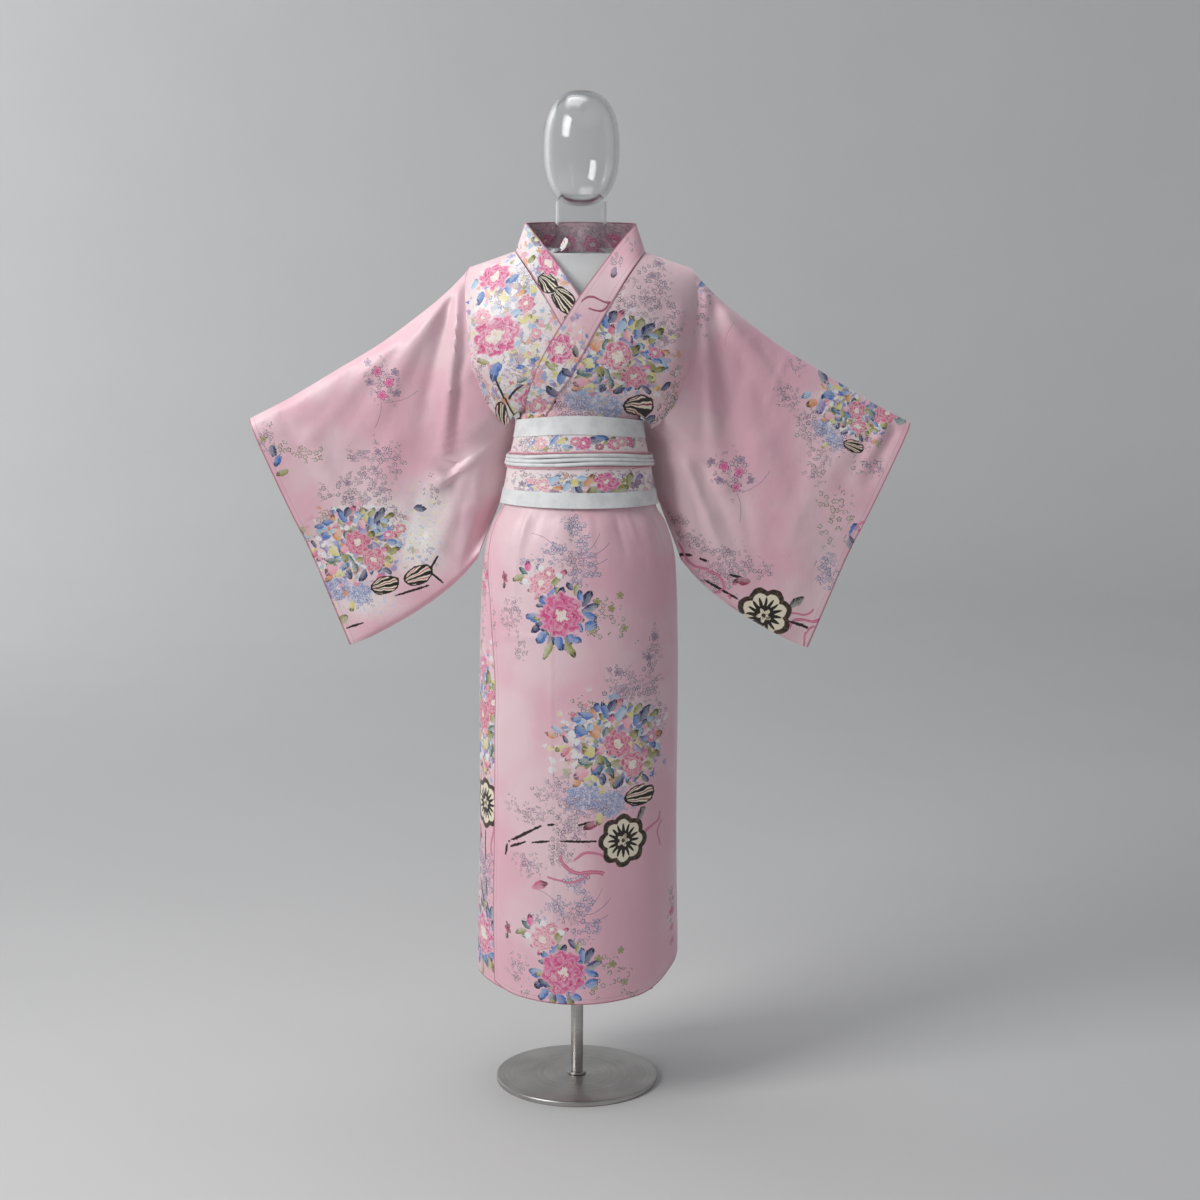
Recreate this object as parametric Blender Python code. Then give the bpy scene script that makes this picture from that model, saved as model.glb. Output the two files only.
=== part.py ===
"""A kimono on a limbless dress form, in metres: +Z up, front towards -Y, origin under the stand's base.

The cloth is built from one set of sections around the trunk. Each panel covers its own share of
those sections, and a panel that lies on another one is the same surface moved out. "Own" distances
and angles run from the garment's centre line towards the panel's own side seam, so both halves of
the kimono share every function, with side = 1 for the wearer's left half, which laps over the
right one, and side = -1 for the wearer's right half, which lies under it.
"""

import math

import bpy
import numpy as np

# Cloth
WALL = 0.0015
COLLAR_WALL = 0.003
OVER_LIFT = 0.0057
SEAM = 0.0004
SIDE_SEAM_ANGLE = math.radians(0.12)
LIFT_FADE_ANGLE = math.radians(22)
OKUMI_SEAM_X = -0.040
UNDER_EDGE_ANGLE = math.radians(-48)
HEM_DIP = 0.022
OBI_BOTTOM = 1.0895
OBI_TOP = 1.236
OBI_BOW = 0.015
OBI_BOW_FADE = 0.06
NORMAL_STEP = 0.0004

# Sections around the trunk, from the hem up to the chest. The side point of a section is
# half_width from the middle and side_depth in front of, or behind, the side line.
SECTION_COLUMNS = ("height", "half_width", "side_depth", "front", "back")
SECTIONS = (
    (0.2220, 0.1840, 0.000, 0.1600, 0.1660),
    (0.3450, 0.1820, 0.000, 0.1550, 0.1600),
    (0.5350, 0.1790, 0.000, 0.1460, 0.1500),
    (0.7230, 0.1790, 0.000, 0.1370, 0.1400),
    (0.8340, 0.1780, 0.000, 0.1310, 0.1340),
    (0.9080, 0.1750, 0.000, 0.1270, 0.1310),
    (0.9810, 0.1700, 0.000, 0.1210, 0.1280),
    (1.0180, 0.1630, 0.000, 0.1160, 0.1230),
    (1.0540, 0.1500, 0.000, 0.1080, 0.1140),
    (1.0760, 0.1380, 0.000, 0.1010, 0.1050),
    (1.0895, 0.1340, 0.000, 0.0970, 0.1000),
    (1.1630, 0.1200, 0.000, 0.0875, 0.0910),
    (1.2360, 0.1060, 0.000, 0.0780, 0.0820),
    (1.2480, 0.1070, 0.004, 0.0785, 0.0830),
    (1.2560, 0.1180, 0.012, 0.0830, 0.0890),
    (1.2640, 0.1340, 0.022, 0.0880, 0.0960),
    (1.2740, 0.1490, 0.033, 0.0940, 0.1030),
    (1.2920, 0.1680, 0.044, 0.1040, 0.1100),
    (1.3300, 0.1900, 0.055, 0.1160, 0.1170),
)
CHEST_HEIGHT, CHEST_HALF = SECTIONS[-1][:2]
# The bodice's cloth droops at the sides between the obi and the chest.
SIDE_DROOP = 0.050
DROOP_FROM = 1.252
DROOP_RISE = 0.012
DROOP_FALL = 0.055
# The hem dips at the front and back below this height.
DIP_FROM = 0.60
DIP_RUN = 0.40

# Shoulders: the ridge's height for each distance from the middle.
RIDGE_COLUMNS = ("x", "height")
RIDGE = (
    (0.000, 1.544),
    (0.080, 1.540),
    (0.115, 1.531),
    (0.155, 1.517),
    (0.210, 1.498),
)
FRONT_ROUNDNESS = 0.80
BACK_ROUNDNESS = 0.60
SHOULDER_HALF = 0.1935
CHEST_ROUND_HALF = 0.214
LAP_FADE_FROM = math.radians(35)
LAP_FADE_TURN = math.radians(50)
NECK_HALF = 0.115
NECK_BACK = 0.072

# The line where the collar is sewn on, and the collar's free edge, in own distances.
SEWN_COLUMNS = ("height", "x")
SEWN_LINE = (
    (1.100, -0.108),
    (1.170, -0.083),
    (1.255, -0.048),
    (1.322, -0.014),
    (1.436, 0.049),
    (1.503, 0.093),
    (1.531, 0.115),
)
FREE_COLUMNS = ("sewn_height", "free_x", "free_height")
FREE_EDGE = (
    (1.180, -0.100, 1.195),
    (1.230, -0.097, 1.249),
    (1.290, -0.080, 1.318),
    (1.322, -0.066, 1.351),
    (1.425, -0.004, 1.453),
    (1.470, 0.030, 1.500),
    (1.503, 0.064, 1.544),
    (1.531, 0.096, 1.582),
)
COLLAR_END = 1.180
COLLAR_FOOT = 0.0019
UNDER_COLLAR_X = -0.072
COLLAR_STANDS_FROM = 1.440
COLLAR_STANDS_AT = 1.500
COLLAR_NECK_Y = -0.004
COLLAR_BACK_Y = 0.067
COLLAR_BACK_HEIGHT = 1.583
V_HEIGHT = 1.453

# The lapped panel's free edge, as an angle from the centre front for each height.
LAP_COLUMNS = ("height", "degrees")
LAP_EDGE = (
    (0.200, -51.5),
    (0.400, -54.0),
    (0.750, -53.5),
    (0.900, -60.0),
    (0.990, -68.0),
    (1.060, -72.0),
    (1.090, -70.0),
    (1.125, -60.0),
    (1.163, -49.0),
)
LAP_TOP = 1.175
OKUMI_TOP = 1.263

# Soft ridges and troughs in the trunk's cloth: each runs from one place to another. Angles are
# degrees from the centre front towards +X, heights and sizes are in metres.
FOLD_COLUMNS = ("from_degrees", "from_height", "to_degrees", "to_height", "width", "size")
TRUNK_FOLDS = (
    (-44, 1.090, -52, 0.940, 0.018, 0.0040),
    (-10, 1.090, -12, 0.960, 0.018, 0.0035),
    (16, 1.090, 15, 0.990, 0.018, 0.0030),
    (48, 1.090, 52, 0.950, 0.018, 0.0040),
    (74, 1.090, 78, 0.900, 0.020, 0.0045),
    (-80, 1.090, -82, 0.900, 0.018, 0.0040),
    (38, 0.700, 46, 0.250, 0.026, 0.0045),
    (112, 1.090, 108, 0.900, 0.020, 0.0045),
    (138, 1.090, 140, 0.960, 0.020, 0.0040),
    (163, 1.090, 160, 0.930, 0.018, 0.0045),
    (-116, 1.090, -112, 0.930, 0.020, 0.0045),
    (-141, 1.090, -144, 0.950, 0.020, 0.0040),
    (-165, 1.090, -168, 0.920, 0.018, 0.0040),
    (150, 0.850, 146, 0.300, 0.028, 0.0045),
    (-132, 0.800, -138, 0.320, 0.028, 0.0045),
)
BODICE_FOLDS = (
    (-58, 1.420, -52, 1.275, 0.018, 0.0060),
    (52, 1.420, 46, 1.275, 0.018, 0.0060),
    (128, 1.420, 134, 1.275, 0.020, 0.0060),
    (-128, 1.420, -136, 1.275, 0.020, 0.0060),
    (156, 1.360, 152, 1.275, 0.018, 0.0045),
    (-154, 1.360, -158, 1.275, 0.018, 0.0045),
)
FOLD_RADIUS = 0.15
FOLD_RUN_OUT = 0.75
# The folds fade to nothing over these distances where the obi holds the cloth.
FOLDS_END_BELOW_OBI = 0.004
FOLDS_FADE_BELOW = 0.030
FOLDS_START_ABOVE_OBI = 1.262
FOLDS_FADE_ABOVE = 0.020

# Sleeves: edges in the frontal plane, each row an own distance and a height.
SLEEVE_TOP = (
    (0.1960, 1.4985),
    (0.238, 1.457),
    (0.286, 1.418),
    (0.357, 1.366),
    (0.430, 1.322),
    (0.526, 1.265),
    (0.590, 1.232),
)
SLEEVE_CUFF = (
    (0.590, 1.232),
    (0.566, 1.176),
    (0.523, 1.078),
    (0.482, 0.990),
    (0.440, 0.886),
    (0.415, 0.824),
)
SLEEVE_BOTTOM = (
    (0.184, 0.984),
    (0.213, 0.950),
    (0.248, 0.919),
    (0.291, 0.888),
    (0.340, 0.859),
    (0.380, 0.838),
    (0.415, 0.824),
)
# Below the armhole the sleeve's inner edge hangs free beside the waist.
SLEEVE_INNER = (
    (0.1440, 1.234),
    (0.1340, 1.210),
    (0.1300, 1.186),
    (0.1285, 1.160),
    (0.1340, 1.120),
    (0.1460, 1.080),
    (0.1640, 1.035),
    (0.1780, 1.000),
    (0.1840, 0.984),
)
# From each armhole to its sleeve, by side.
ARMHOLE_GAP = {1: 0.0020, -1: 0.0031}
ARMHOLE_ROWS = (1.330, 1.311, 1.292, 1.274)
ARMHOLE_BULGE = 0.0095
SLEEVE_SET_BACK = 0.046
CUFF_OPENING = 0.205
SLEEVE_COLUMNS_COUNT = 13
SLEEVE_ROWS_COUNT = 18
# Shares of a sleeve's height over which its top and bottom edges round off, and over which the
# gap narrows from its upper to its lower value.
TOP_ROUND = 0.10
BOTTOM_ROUND = 0.035
NARROWS_OVER = 0.75
# How much of a sleeve's own gap its first columns beside the armhole have.
BESIDE_ARMHOLE = {1: 0.45, 2: 0.80}
CUFF_SHUTS_OVER = 0.04
CUFF_SHUTS_FROM = 0.80
CUFF_SEWN_PAST = 0.03
# Shares of the sleeve's length or height over which its folds fade, at each edge.
FOLDS_FADE = {"armhole": 0.12, "cuff": 0.15, "top": 0.06, "bottom": 0.08}
SET_BACK_LENGTH = 0.22
SET_BACK_BELOW_ARMHOLE = 0.12
SET_BACK_ABOVE_BOTTOM = 0.20
# Half the gap between a sleeve's front and back cloth, from the shoulder to the cuff.
SLEEVE_DEPTH_COLUMNS = ("along", "upper", "lower")
SLEEVE_DEPTH = (
    (0.00, 0.052, 0.013),
    (0.12, 0.042, 0.014),
    (0.30, 0.030, 0.014),
    (0.60, 0.022, 0.012),
    (0.85, 0.020, 0.008),
    (1.00, 0.021, 0.005),
)
SLEEVE_FOLD_COLUMNS = ("from_x", "from_height", "to_x", "to_height", "width", "size")
SLEEVE_FOLDS = (
    (0.206, 1.470, 0.250, 1.120, 0.016, 0.0100),
    (0.235, 1.440, 0.285, 1.180, 0.013, -0.0050),
    (0.262, 1.120, 0.185, 1.190, 0.014, 0.0050),
    (0.262, 1.425, 0.360, 1.240, 0.016, 0.0060),
    (0.330, 1.200, 0.390, 1.010, 0.022, 0.0045),
    (0.480, 1.200, 0.400, 1.060, 0.020, 0.0040),
    (0.230, 1.060, 0.300, 0.930, 0.020, 0.0045),
)

# Obi: heights from the photograph, with its upper edge bowed up at the front.
OBI_ROWS = (1.0895, 1.1155, 1.1630, 1.2050, 1.2360)
OBI_WALL = 0.0025
OBI_CLEARANCE = 0.0009
OBI_COLLAR_ROOM = 0.0018
OBI_STEPS = 40
TRIM_WALL = 0.0015
PIECE_GAP = 0.0004
STRAND_RADIUS = 0.0029
STRAND_HEIGHTS = (1.1600, 1.1665, 1.1730)
PIPING_RADIUS = 0.0016
PIPING_HEIGHTS = (1.1546, 1.1784)
BAND_TILT = 0.004

# Stand
BASE_RADIUS = 0.150
BASE_HEIGHT = 0.010
BASE_ROUND = 0.003
FOOT_RADIUS = 0.017
FOOT_HEIGHT = 0.004
POLE_RADIUS = 0.0115
PLUG_RADIUS = 0.021
PLUG_HEIGHT = 0.030
FORM_GAP = 0.0003

# Dress form, turned and flattened: the head is an egg, the rest is one body.
HEAD_MIDDLE = 1.712
HEAD_WIDTH = 0.0675
HEAD_DEPTH = 0.080
HEAD_UP = 0.100
HEAD_DOWN = 0.090
HEAD_SEAT = 1.007
TORSO_COLUMNS = ("height", "half_width", "half_depth", "squareness")
TORSO = (
    (0.862, 0.120, 0.084, 2.0),
    (0.866, 0.134, 0.094, 2.0),
    (0.880, 0.146, 0.104, 2.0),
    (0.930, 0.158, 0.112, 2.0),
    (0.990, 0.158, 0.110, 2.0),
    (1.040, 0.146, 0.102, 2.0),
    (1.085, 0.128, 0.092, 2.0),
    (1.165, 0.111, 0.079, 2.0),
    (1.235, 0.097, 0.069, 2.0),
    (1.264, 0.100, 0.070, 2.0),
    (1.292, 0.124, 0.086, 2.0),
    (1.330, 0.144, 0.102, 2.1),
    (1.400, 0.164, 0.096, 2.2),
    (1.460, 0.170, 0.080, 2.2),
    (1.492, 0.168, 0.064, 2.1),
    (1.5078, 0.161, 0.055, 2.0),
    (1.5172, 0.1520, 0.050, 2.0),
    (1.5247, 0.128, 0.047, 2.0),
    (1.531, 0.088, 0.046, 2.0),
    (1.540, 0.060, 0.046, 2.0),
    (1.560, 0.046, 0.046, 2.0),
    (1.640, 0.046, 0.046, 2.0),
)
TORSO_SIDES = 28


def column(table, columns, name):
    """One named column of a table."""
    return np.array([row[columns.index(name)] for row in table], float)


def through(known_x, known_y, x):
    """A smooth curve through points that never swings past them, at one place or many."""
    x = np.clip(np.asarray(x, float), known_x[0], known_x[-1])
    steps = np.diff(known_x)
    slopes = np.diff(known_y) / steps
    inner = np.where(
        slopes[:-1] * slopes[1:] > 0,
        2 * slopes[:-1] * slopes[1:] / (slopes[:-1] + slopes[1:] + 1e-12),
        0.0,
    )
    tangents = np.concatenate([slopes[:1], inner, slopes[-1:]])
    i = np.clip(np.searchsorted(known_x, x, side="right") - 1, 0, len(steps) - 1)
    t = (x - known_x[i]) / steps[i]
    return (
        known_y[i] * (1 + 2 * t) * (1 - t) ** 2
        + known_y[i + 1] * t**2 * (3 - 2 * t)
        + steps[i] * t * (1 - t) * (tangents[i] * (1 - t) - tangents[i + 1] * t)
    )


def soft_step(value):
    """0 below 0, 1 above 1, with an S curve between."""
    value = np.clip(value, 0.0, 1.0)
    return value * value * (3 - 2 * value)


def section(height):
    """The sizes of the level section at a height."""
    heights = column(SECTIONS, SECTION_COLUMNS, "height")
    return {
        name: through(heights, column(SECTIONS, SECTION_COLUMNS, name), height)
        for name in SECTION_COLUMNS
    }


def ridge_height(x):
    return through(column(RIDGE, RIDGE_COLUMNS, "x"), column(RIDGE, RIDGE_COLUMNS, "height"), abs(x))


def sewn_x(height):
    return through(
        column(SEWN_LINE, SEWN_COLUMNS, "height"), column(SEWN_LINE, SEWN_COLUMNS, "x"), height
    )


def ridges(table, columns, across, up):
    """How far out the cloth stands at a place, for a table of straight soft folds that run out."""
    total = np.zeros(np.broadcast(across, up).shape)
    for row in table:
        fold = dict(zip(columns, row))
        start = np.array([fold[columns[0]], fold[columns[1]]])
        end = np.array([fold[columns[2]], fold[columns[3]]])
        run = end - start
        share = ((across - start[0]) * run[0] + (up - start[1]) * run[1]) / (run @ run)
        near = np.clip(share, 0, 1)
        away = np.hypot(across - start[0] - near * run[0], up - start[1] - near * run[1])
        fade = 1 - FOLD_RUN_OUT * near
        total = total + fold["size"] * fade * np.exp(-((away / fold["width"]) ** 2))
    return total


def in_arc_lengths(table):
    """Fold rows whose angles are made distances around the trunk."""
    scale = math.radians(1) * FOLD_RADIUS
    return tuple((a * scale, b, c * scale, d, e, f) for a, b, c, d, e, f in table)


TRUNK_FOLD_LINES = in_arc_lengths(TRUNK_FOLDS)
BODICE_FOLD_LINES = in_arc_lengths(BODICE_FOLDS)


def trunk_folds(degrees_x, height):
    """Folds of skirt and bodice. They fade to nothing where the obi holds the cloth."""
    across = math.radians(1) * FOLD_RADIUS * degrees_x
    below = soft_step((OBI_BOTTOM - FOLDS_END_BELOW_OBI - height) / FOLDS_FADE_BELOW)
    above = soft_step((height - FOLDS_START_ABOVE_OBI) / FOLDS_FADE_ABOVE)
    return below * ridges(TRUNK_FOLD_LINES, FOLD_COLUMNS, across, height) + above * ridges(
        BODICE_FOLD_LINES, FOLD_COLUMNS, across, height
    )


def lap_lift(angle):
    """How far the lapping half stands out over the other one: nothing at the side seams."""
    return OVER_LIFT * soft_step((math.pi / 2 - abs(angle)) / LIFT_FADE_ANGLE)


def waist_bow(height):
    """How far the cloth and the obi rise at the centre front, from the obi's middle to the chest."""
    over_obi = soft_step((height - OBI_BOTTOM) / (OBI_TOP - OBI_BOTTOM))
    return OBI_BOW * over_obi * soft_step((CHEST_HEIGHT - height) / OBI_BOW_FADE)


def moved_out(base, first, second, step, side):
    """The outward unit normal of a surface that is given as a function of two values."""
    along = base(first + step, second) - base(first - step, second)
    across = base(first, second + step) - base(first, second - step)
    normal = side * np.cross(across, along)
    return normal / np.maximum(np.linalg.norm(normal, axis=-1, keepdims=True), 1e-12)


def trunk_base(side, height, angle):
    """The cloth's own surface up to the chest line, with no folds and nothing under it."""
    size = section(height)
    forward = np.cos(angle) > 0
    depth = np.where(forward, size["front"], size["back"])
    end = np.arccos(np.clip(size["side_depth"] / depth, 0, 1))
    width = size["half_width"] / np.sin(end)
    front_turn = np.cos(angle) ** 2 * forward
    hem = soft_step((DIP_FROM - height) / DIP_RUN)
    blouse = soft_step((height - DROOP_FROM) / DROOP_RISE)
    blouse = blouse * soft_step((CHEST_HEIGHT - height) / DROOP_FALL)
    up = height - hem * HEM_DIP * np.cos(angle) ** 2 + waist_bow(height) * front_turn
    up = up - blouse * SIDE_DROOP * np.sin(angle) ** 8
    return np.stack(
        [side * width * np.sin(angle), -depth * np.cos(angle), up + 0.0 * angle], axis=-1
    )


def trunk_point(side, height, angle, lift, lapping):
    """A point of the cloth up to the chest line. The angle runs from centre front to centre back."""
    angle = np.asarray(angle, float)
    out = lift + trunk_folds(side * np.degrees(angle), height)
    out = out + np.where((np.cos(angle) > 0) & lapping, lap_lift(angle), 0.0)
    at_height = np.full(angle.shape, float(height))
    normal = moved_out(
        lambda h, turn: trunk_base(side, h, turn), at_height, angle, NORMAL_STEP, side
    )
    return trunk_base(side, at_height, angle) + normal * out[..., None]


def side_angle(height, forward):
    """The angle of a panel's own side edge in a section."""
    size = section(height)
    depth = size["front"] if forward else size["back"]
    edge = np.arccos(np.clip(size["side_depth"] / depth, 0, 1))
    return float(np.minimum(edge, math.pi / 2 - SIDE_SEAM_ANGLE))


def angle_at(height, x, forward):
    """The angle at which a section reaches an own distance x."""
    size = section(height)
    depth = size["front"] if forward else size["back"]
    end = np.arccos(np.clip(size["side_depth"] / depth, 0, 1))
    return float(np.arcsin(np.clip(x * np.sin(end) / size["half_width"], -0.999, 0.999)))


def chest_depth(x, forward):
    """How deep the cloth is at the chest line, at an own distance x."""
    size = section(CHEST_HEIGHT)
    depth = size["front"] if forward else size["back"]
    end = np.arccos(size["side_depth"] / depth)
    width = size["half_width"] / np.sin(end)
    return depth * np.sqrt(np.clip(1 - (x / width) ** 2, 0.0, 1.0))


def shoulder_base(side, turn, x):
    """The cloth's own surface over the shoulder, from the chest line in front to the one behind."""
    forward = np.cos(turn) >= 0
    roundness = np.where(forward, FRONT_ROUNDNESS, BACK_ROUNDNESS)
    rise = np.clip(np.sin(turn), 1e-9, 1) ** roundness
    depth = np.where(forward, chest_depth(x, True), chest_depth(x, False))
    up = CHEST_HEIGHT + (ridge_height(x) - CHEST_HEIGHT) * rise
    return np.stack([side * x, -depth * np.cos(turn), up + 0.0 * x], axis=-1)


def shoulder_point(side, turn, x, lift, lapping):
    """A point over the shoulder: turn is 0 at the chest, 90 degrees on the ridge, 180 behind."""
    x = np.asarray(x, float)
    lean = np.degrees(np.arcsin(np.clip(x / CHEST_ROUND_HALF, -1, 1)))
    degrees_x = side * np.where(math.cos(turn) >= 0, lean, 180 - lean)
    up = shoulder_base(side, np.full(x.shape, float(turn)), x)[..., 2]
    out = lift + ridges(
        BODICE_FOLD_LINES, FOLD_COLUMNS, math.radians(1) * FOLD_RADIUS * degrees_x, up
    )
    if lapping:
        out = out + OVER_LIFT * (1 - soft_step((turn - LAP_FADE_FROM) / LAP_FADE_TURN))
    at_turn = np.full(x.shape, float(turn))
    normal = moved_out(
        lambda t, across: shoulder_base(side, t, across), at_turn, x, NORMAL_STEP, side
    )
    return shoulder_base(side, at_turn, x) + normal * out[..., None]


def shoulder_edge_x(turn):
    """The armhole edge's own distance: a little wider between the chest and the ridge."""
    return (
        CHEST_HALF
        + (SHOULDER_HALF - CHEST_HALF) * math.sin(turn)
        + ARMHOLE_BULGE * abs(math.sin(2 * turn))
    )


def neck_x(turn):
    """Where a panel's neck edge is over the shoulder, as an own distance."""
    base = CHEST_HEIGHT
    if turn <= math.pi / 2:
        x = 0.05
        for _ in range(12):
            x = float(sewn_x(base + (ridge_height(x) - base) * math.sin(turn) ** FRONT_ROUNDNESS))
        return x
    share = abs(math.cos(turn)) * float(chest_depth(0.0, False)) / NECK_BACK
    return NECK_HALF * math.sqrt(max(0.0, 1 - share**2))


NECK_TURN = math.pi - math.acos(NECK_BACK / float(chest_depth(0.0, False)))


TRUNK_ROWS = (
    0.222, 0.290, 0.400, 0.535, 0.660, 0.770, 0.860, 0.930, 0.985, 1.020, 1.050, 1.072,
    1.0895, 1.1155, 1.163, 1.205, 1.236, 1.248, 1.256, 1.264, 1.274, 1.292, 1.311, 1.330,
)
OKUMI_ROWS = TRUNK_ROWS[:13] + (
    1.1025, 1.1155, 1.128, 1.140, 1.152, 1.163, 1.175, 1.190, 1.205, 1.220, 1.236, 1.248, OKUMI_TOP,
)
FRONT_TURNS = np.radians([3.5, 9, 17, 27, 40, 54, 68, 80, 90])
BACK_TURNS = np.concatenate(
    [np.linspace(math.pi / 2, NECK_TURN, 5)[1:], np.radians([141, 153, 163, 172])]
)


def migoro_points(side, lapping, columns):
    """The body panel: one length of cloth from the front hem over the shoulder to the back hem."""
    across = np.linspace(0, 1, columns)
    rows = []
    for height in TRUNK_ROWS:
        inner_x = max(OKUMI_SEAM_X, float(sewn_x(height)) + SEAM)
        first = angle_at(height, inner_x, True)
        last = side_angle(height, True)
        rows.append(trunk_point(side, height, first + (last - first) * across, 0.0, lapping))
    for turn in FRONT_TURNS:
        x = neck_x(turn) + (shoulder_edge_x(turn) - neck_x(turn)) * across
        rows.append(shoulder_point(side, turn, x, 0.0, lapping))
    for turn in BACK_TURNS:
        inner = max(neck_x(turn), SEAM / 2)
        x = inner + (shoulder_edge_x(turn) - inner) * across
        rows.append(shoulder_point(side, turn, x, 0.0, lapping))
    for height in TRUNK_ROWS[::-1]:
        first = math.pi - angle_at(height, SEAM / 2, False)
        last = math.pi - side_angle(height, False)
        rows.append(trunk_point(side, height, first + (last - first) * across, 0.0, lapping))
    return np.array(rows)


def okumi_points(side, lapping, columns):
    """The front overlap panel, from the hem up to where the collar covers it at the obi."""
    across = np.linspace(0, 1, columns)
    heights = column(LAP_EDGE, LAP_COLUMNS, "height")
    degrees = column(LAP_EDGE, LAP_COLUMNS, "degrees")
    rows = []
    for height in OKUMI_ROWS:
        if height >= LAP_TOP:
            first = angle_at(height, float(sewn_x(height)) + SEAM, True)
        elif lapping:
            first = math.radians(float(through(heights, degrees, height)))
        else:
            first = UNDER_EDGE_ANGLE
        last = angle_at(height, OKUMI_SEAM_X - SEAM, True)
        rows.append(trunk_point(side, height, first + (last - first) * across, 0.0, lapping))
    return np.array(rows)


def chest_point(side, x, height, lift, lapping):
    """A point on the front at an own distance x and a height, wherever that is on the panels."""
    if height <= CHEST_HEIGHT:
        return trunk_point(side, height, np.float64(angle_at(height, x, True)), lift, lapping)
    share = min(0.9999, (height - CHEST_HEIGHT) / (float(ridge_height(x)) - CHEST_HEIGHT))
    turn = math.asin(share ** (1 / FRONT_ROUNDNESS))
    return shoulder_point(side, turn, np.float64(x), lift, lapping)


def collar_half(side, lapping, columns):
    """One half of the collar, from its end under the obi to the centre back, sewn edge first."""
    lift = WALL / 2
    across = np.linspace(0, 1, columns)
    sewn = column(FREE_EDGE, FREE_COLUMNS, "sewn_height")
    free_x = column(FREE_EDGE, FREE_COLUMNS, "free_x")
    free_height = column(FREE_EDGE, FREE_COLUMNS, "free_height")
    v_x = float(through(free_height, free_x, V_HEIGHT))
    v_depth = -float(chest_point(1, v_x, V_HEIGHT, 0.0, False)[1])
    rows = []
    heights = [h for h in OKUMI_ROWS if h >= COLLAR_END]
    heights += [h for h in TRUNK_ROWS if h > OKUMI_TOP]
    for turn in FRONT_TURNS:
        x = neck_x(turn)
        rise = math.sin(turn) ** FRONT_ROUNDNESS
        heights.append(CHEST_HEIGHT + (float(ridge_height(x)) - CHEST_HEIGHT) * rise)
    for height in heights:
        stands = float(
            soft_step((height - COLLAR_STANDS_FROM) / (COLLAR_STANDS_AT - COLLAR_STANDS_FROM))
        )
        start = np.array([float(sewn_x(height)) - SEAM - stands * COLLAR_FOOT, height])
        edge_x = float(through(sewn, free_x, height))
        if not lapping:
            edge_x = max(edge_x, UNDER_COLLAR_X)
        end = np.array([edge_x, float(through(sewn, free_height, height))])
        rise = max(0.0, (end[1] - V_HEIGHT) / (free_height[-1] - V_HEIGHT))
        free_y = COLLAR_NECK_Y - (v_depth + COLLAR_NECK_Y) * (1 - rise) ** 0.9
        foot = chest_point(side, start[0], start[1], lift, lapping)
        row = []
        for share in across:
            x, z = start + (end - start) * share
            lying = chest_point(side, x, z, lift, lapping)
            upright = foot + (np.array([side * end[0], free_y, end[1]]) - foot) * share
            row.append(lying * (1 - stands) + upright * stands)
        rows.append(row)
    for turn in BACK_TURNS[:4]:
        x = max(neck_x(turn) - SEAM, 0.0)
        low = shoulder_point(side, turn, np.float64(x), lift, False)
        share = (turn - math.pi / 2) / (NECK_TURN - math.pi / 2)
        swing = share * math.pi / 2
        high = np.array(
            [
                side * free_x[-1] * math.cos(swing),
                COLLAR_NECK_Y + (COLLAR_BACK_Y - COLLAR_NECK_Y) * math.sin(swing),
                free_height[-1] + (COLLAR_BACK_HEIGHT - free_height[-1]) * share,
            ]
        )
        inwards = -np.array([low[0], low[1], 0.0]) / math.hypot(low[0], low[1])
        low = low + inwards * COLLAR_FOOT
        rows.append([low + (high - low) * s for s in across])
    return np.array(rows)


def along(points, count):
    """Points spread evenly along a smooth line through those given."""
    points = np.asarray(points, float)
    length = np.concatenate([[0], np.cumsum(np.linalg.norm(np.diff(points, axis=0), axis=1))])
    at = np.linspace(0, length[-1], count)
    return np.stack([through(length, points[:, i], at) for i in range(2)], axis=-1)


def armhole_edge(side, lapping):
    """The body panel's armhole edge, front and back, from the shoulder ridge down."""
    front = []
    back = []
    for turn in FRONT_TURNS[::-1]:
        x = np.float64(shoulder_edge_x(turn))
        front.append(shoulder_point(side, turn, x, 0.0, lapping))
        x = np.float64(shoulder_edge_x(math.pi - turn + 1e-9))
        back.append(shoulder_point(side, math.pi - turn + 1e-9, x, 0.0, lapping))
    for height in ARMHOLE_ROWS:
        turn = np.float64(side_angle(height, True))
        front.append(trunk_point(side, height, turn, 0.0, lapping))
        turn = np.float64(math.pi - side_angle(height, False))
        back.append(trunk_point(side, height, turn, 0.0, lapping))
    return np.array(front), np.array(back)


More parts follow.
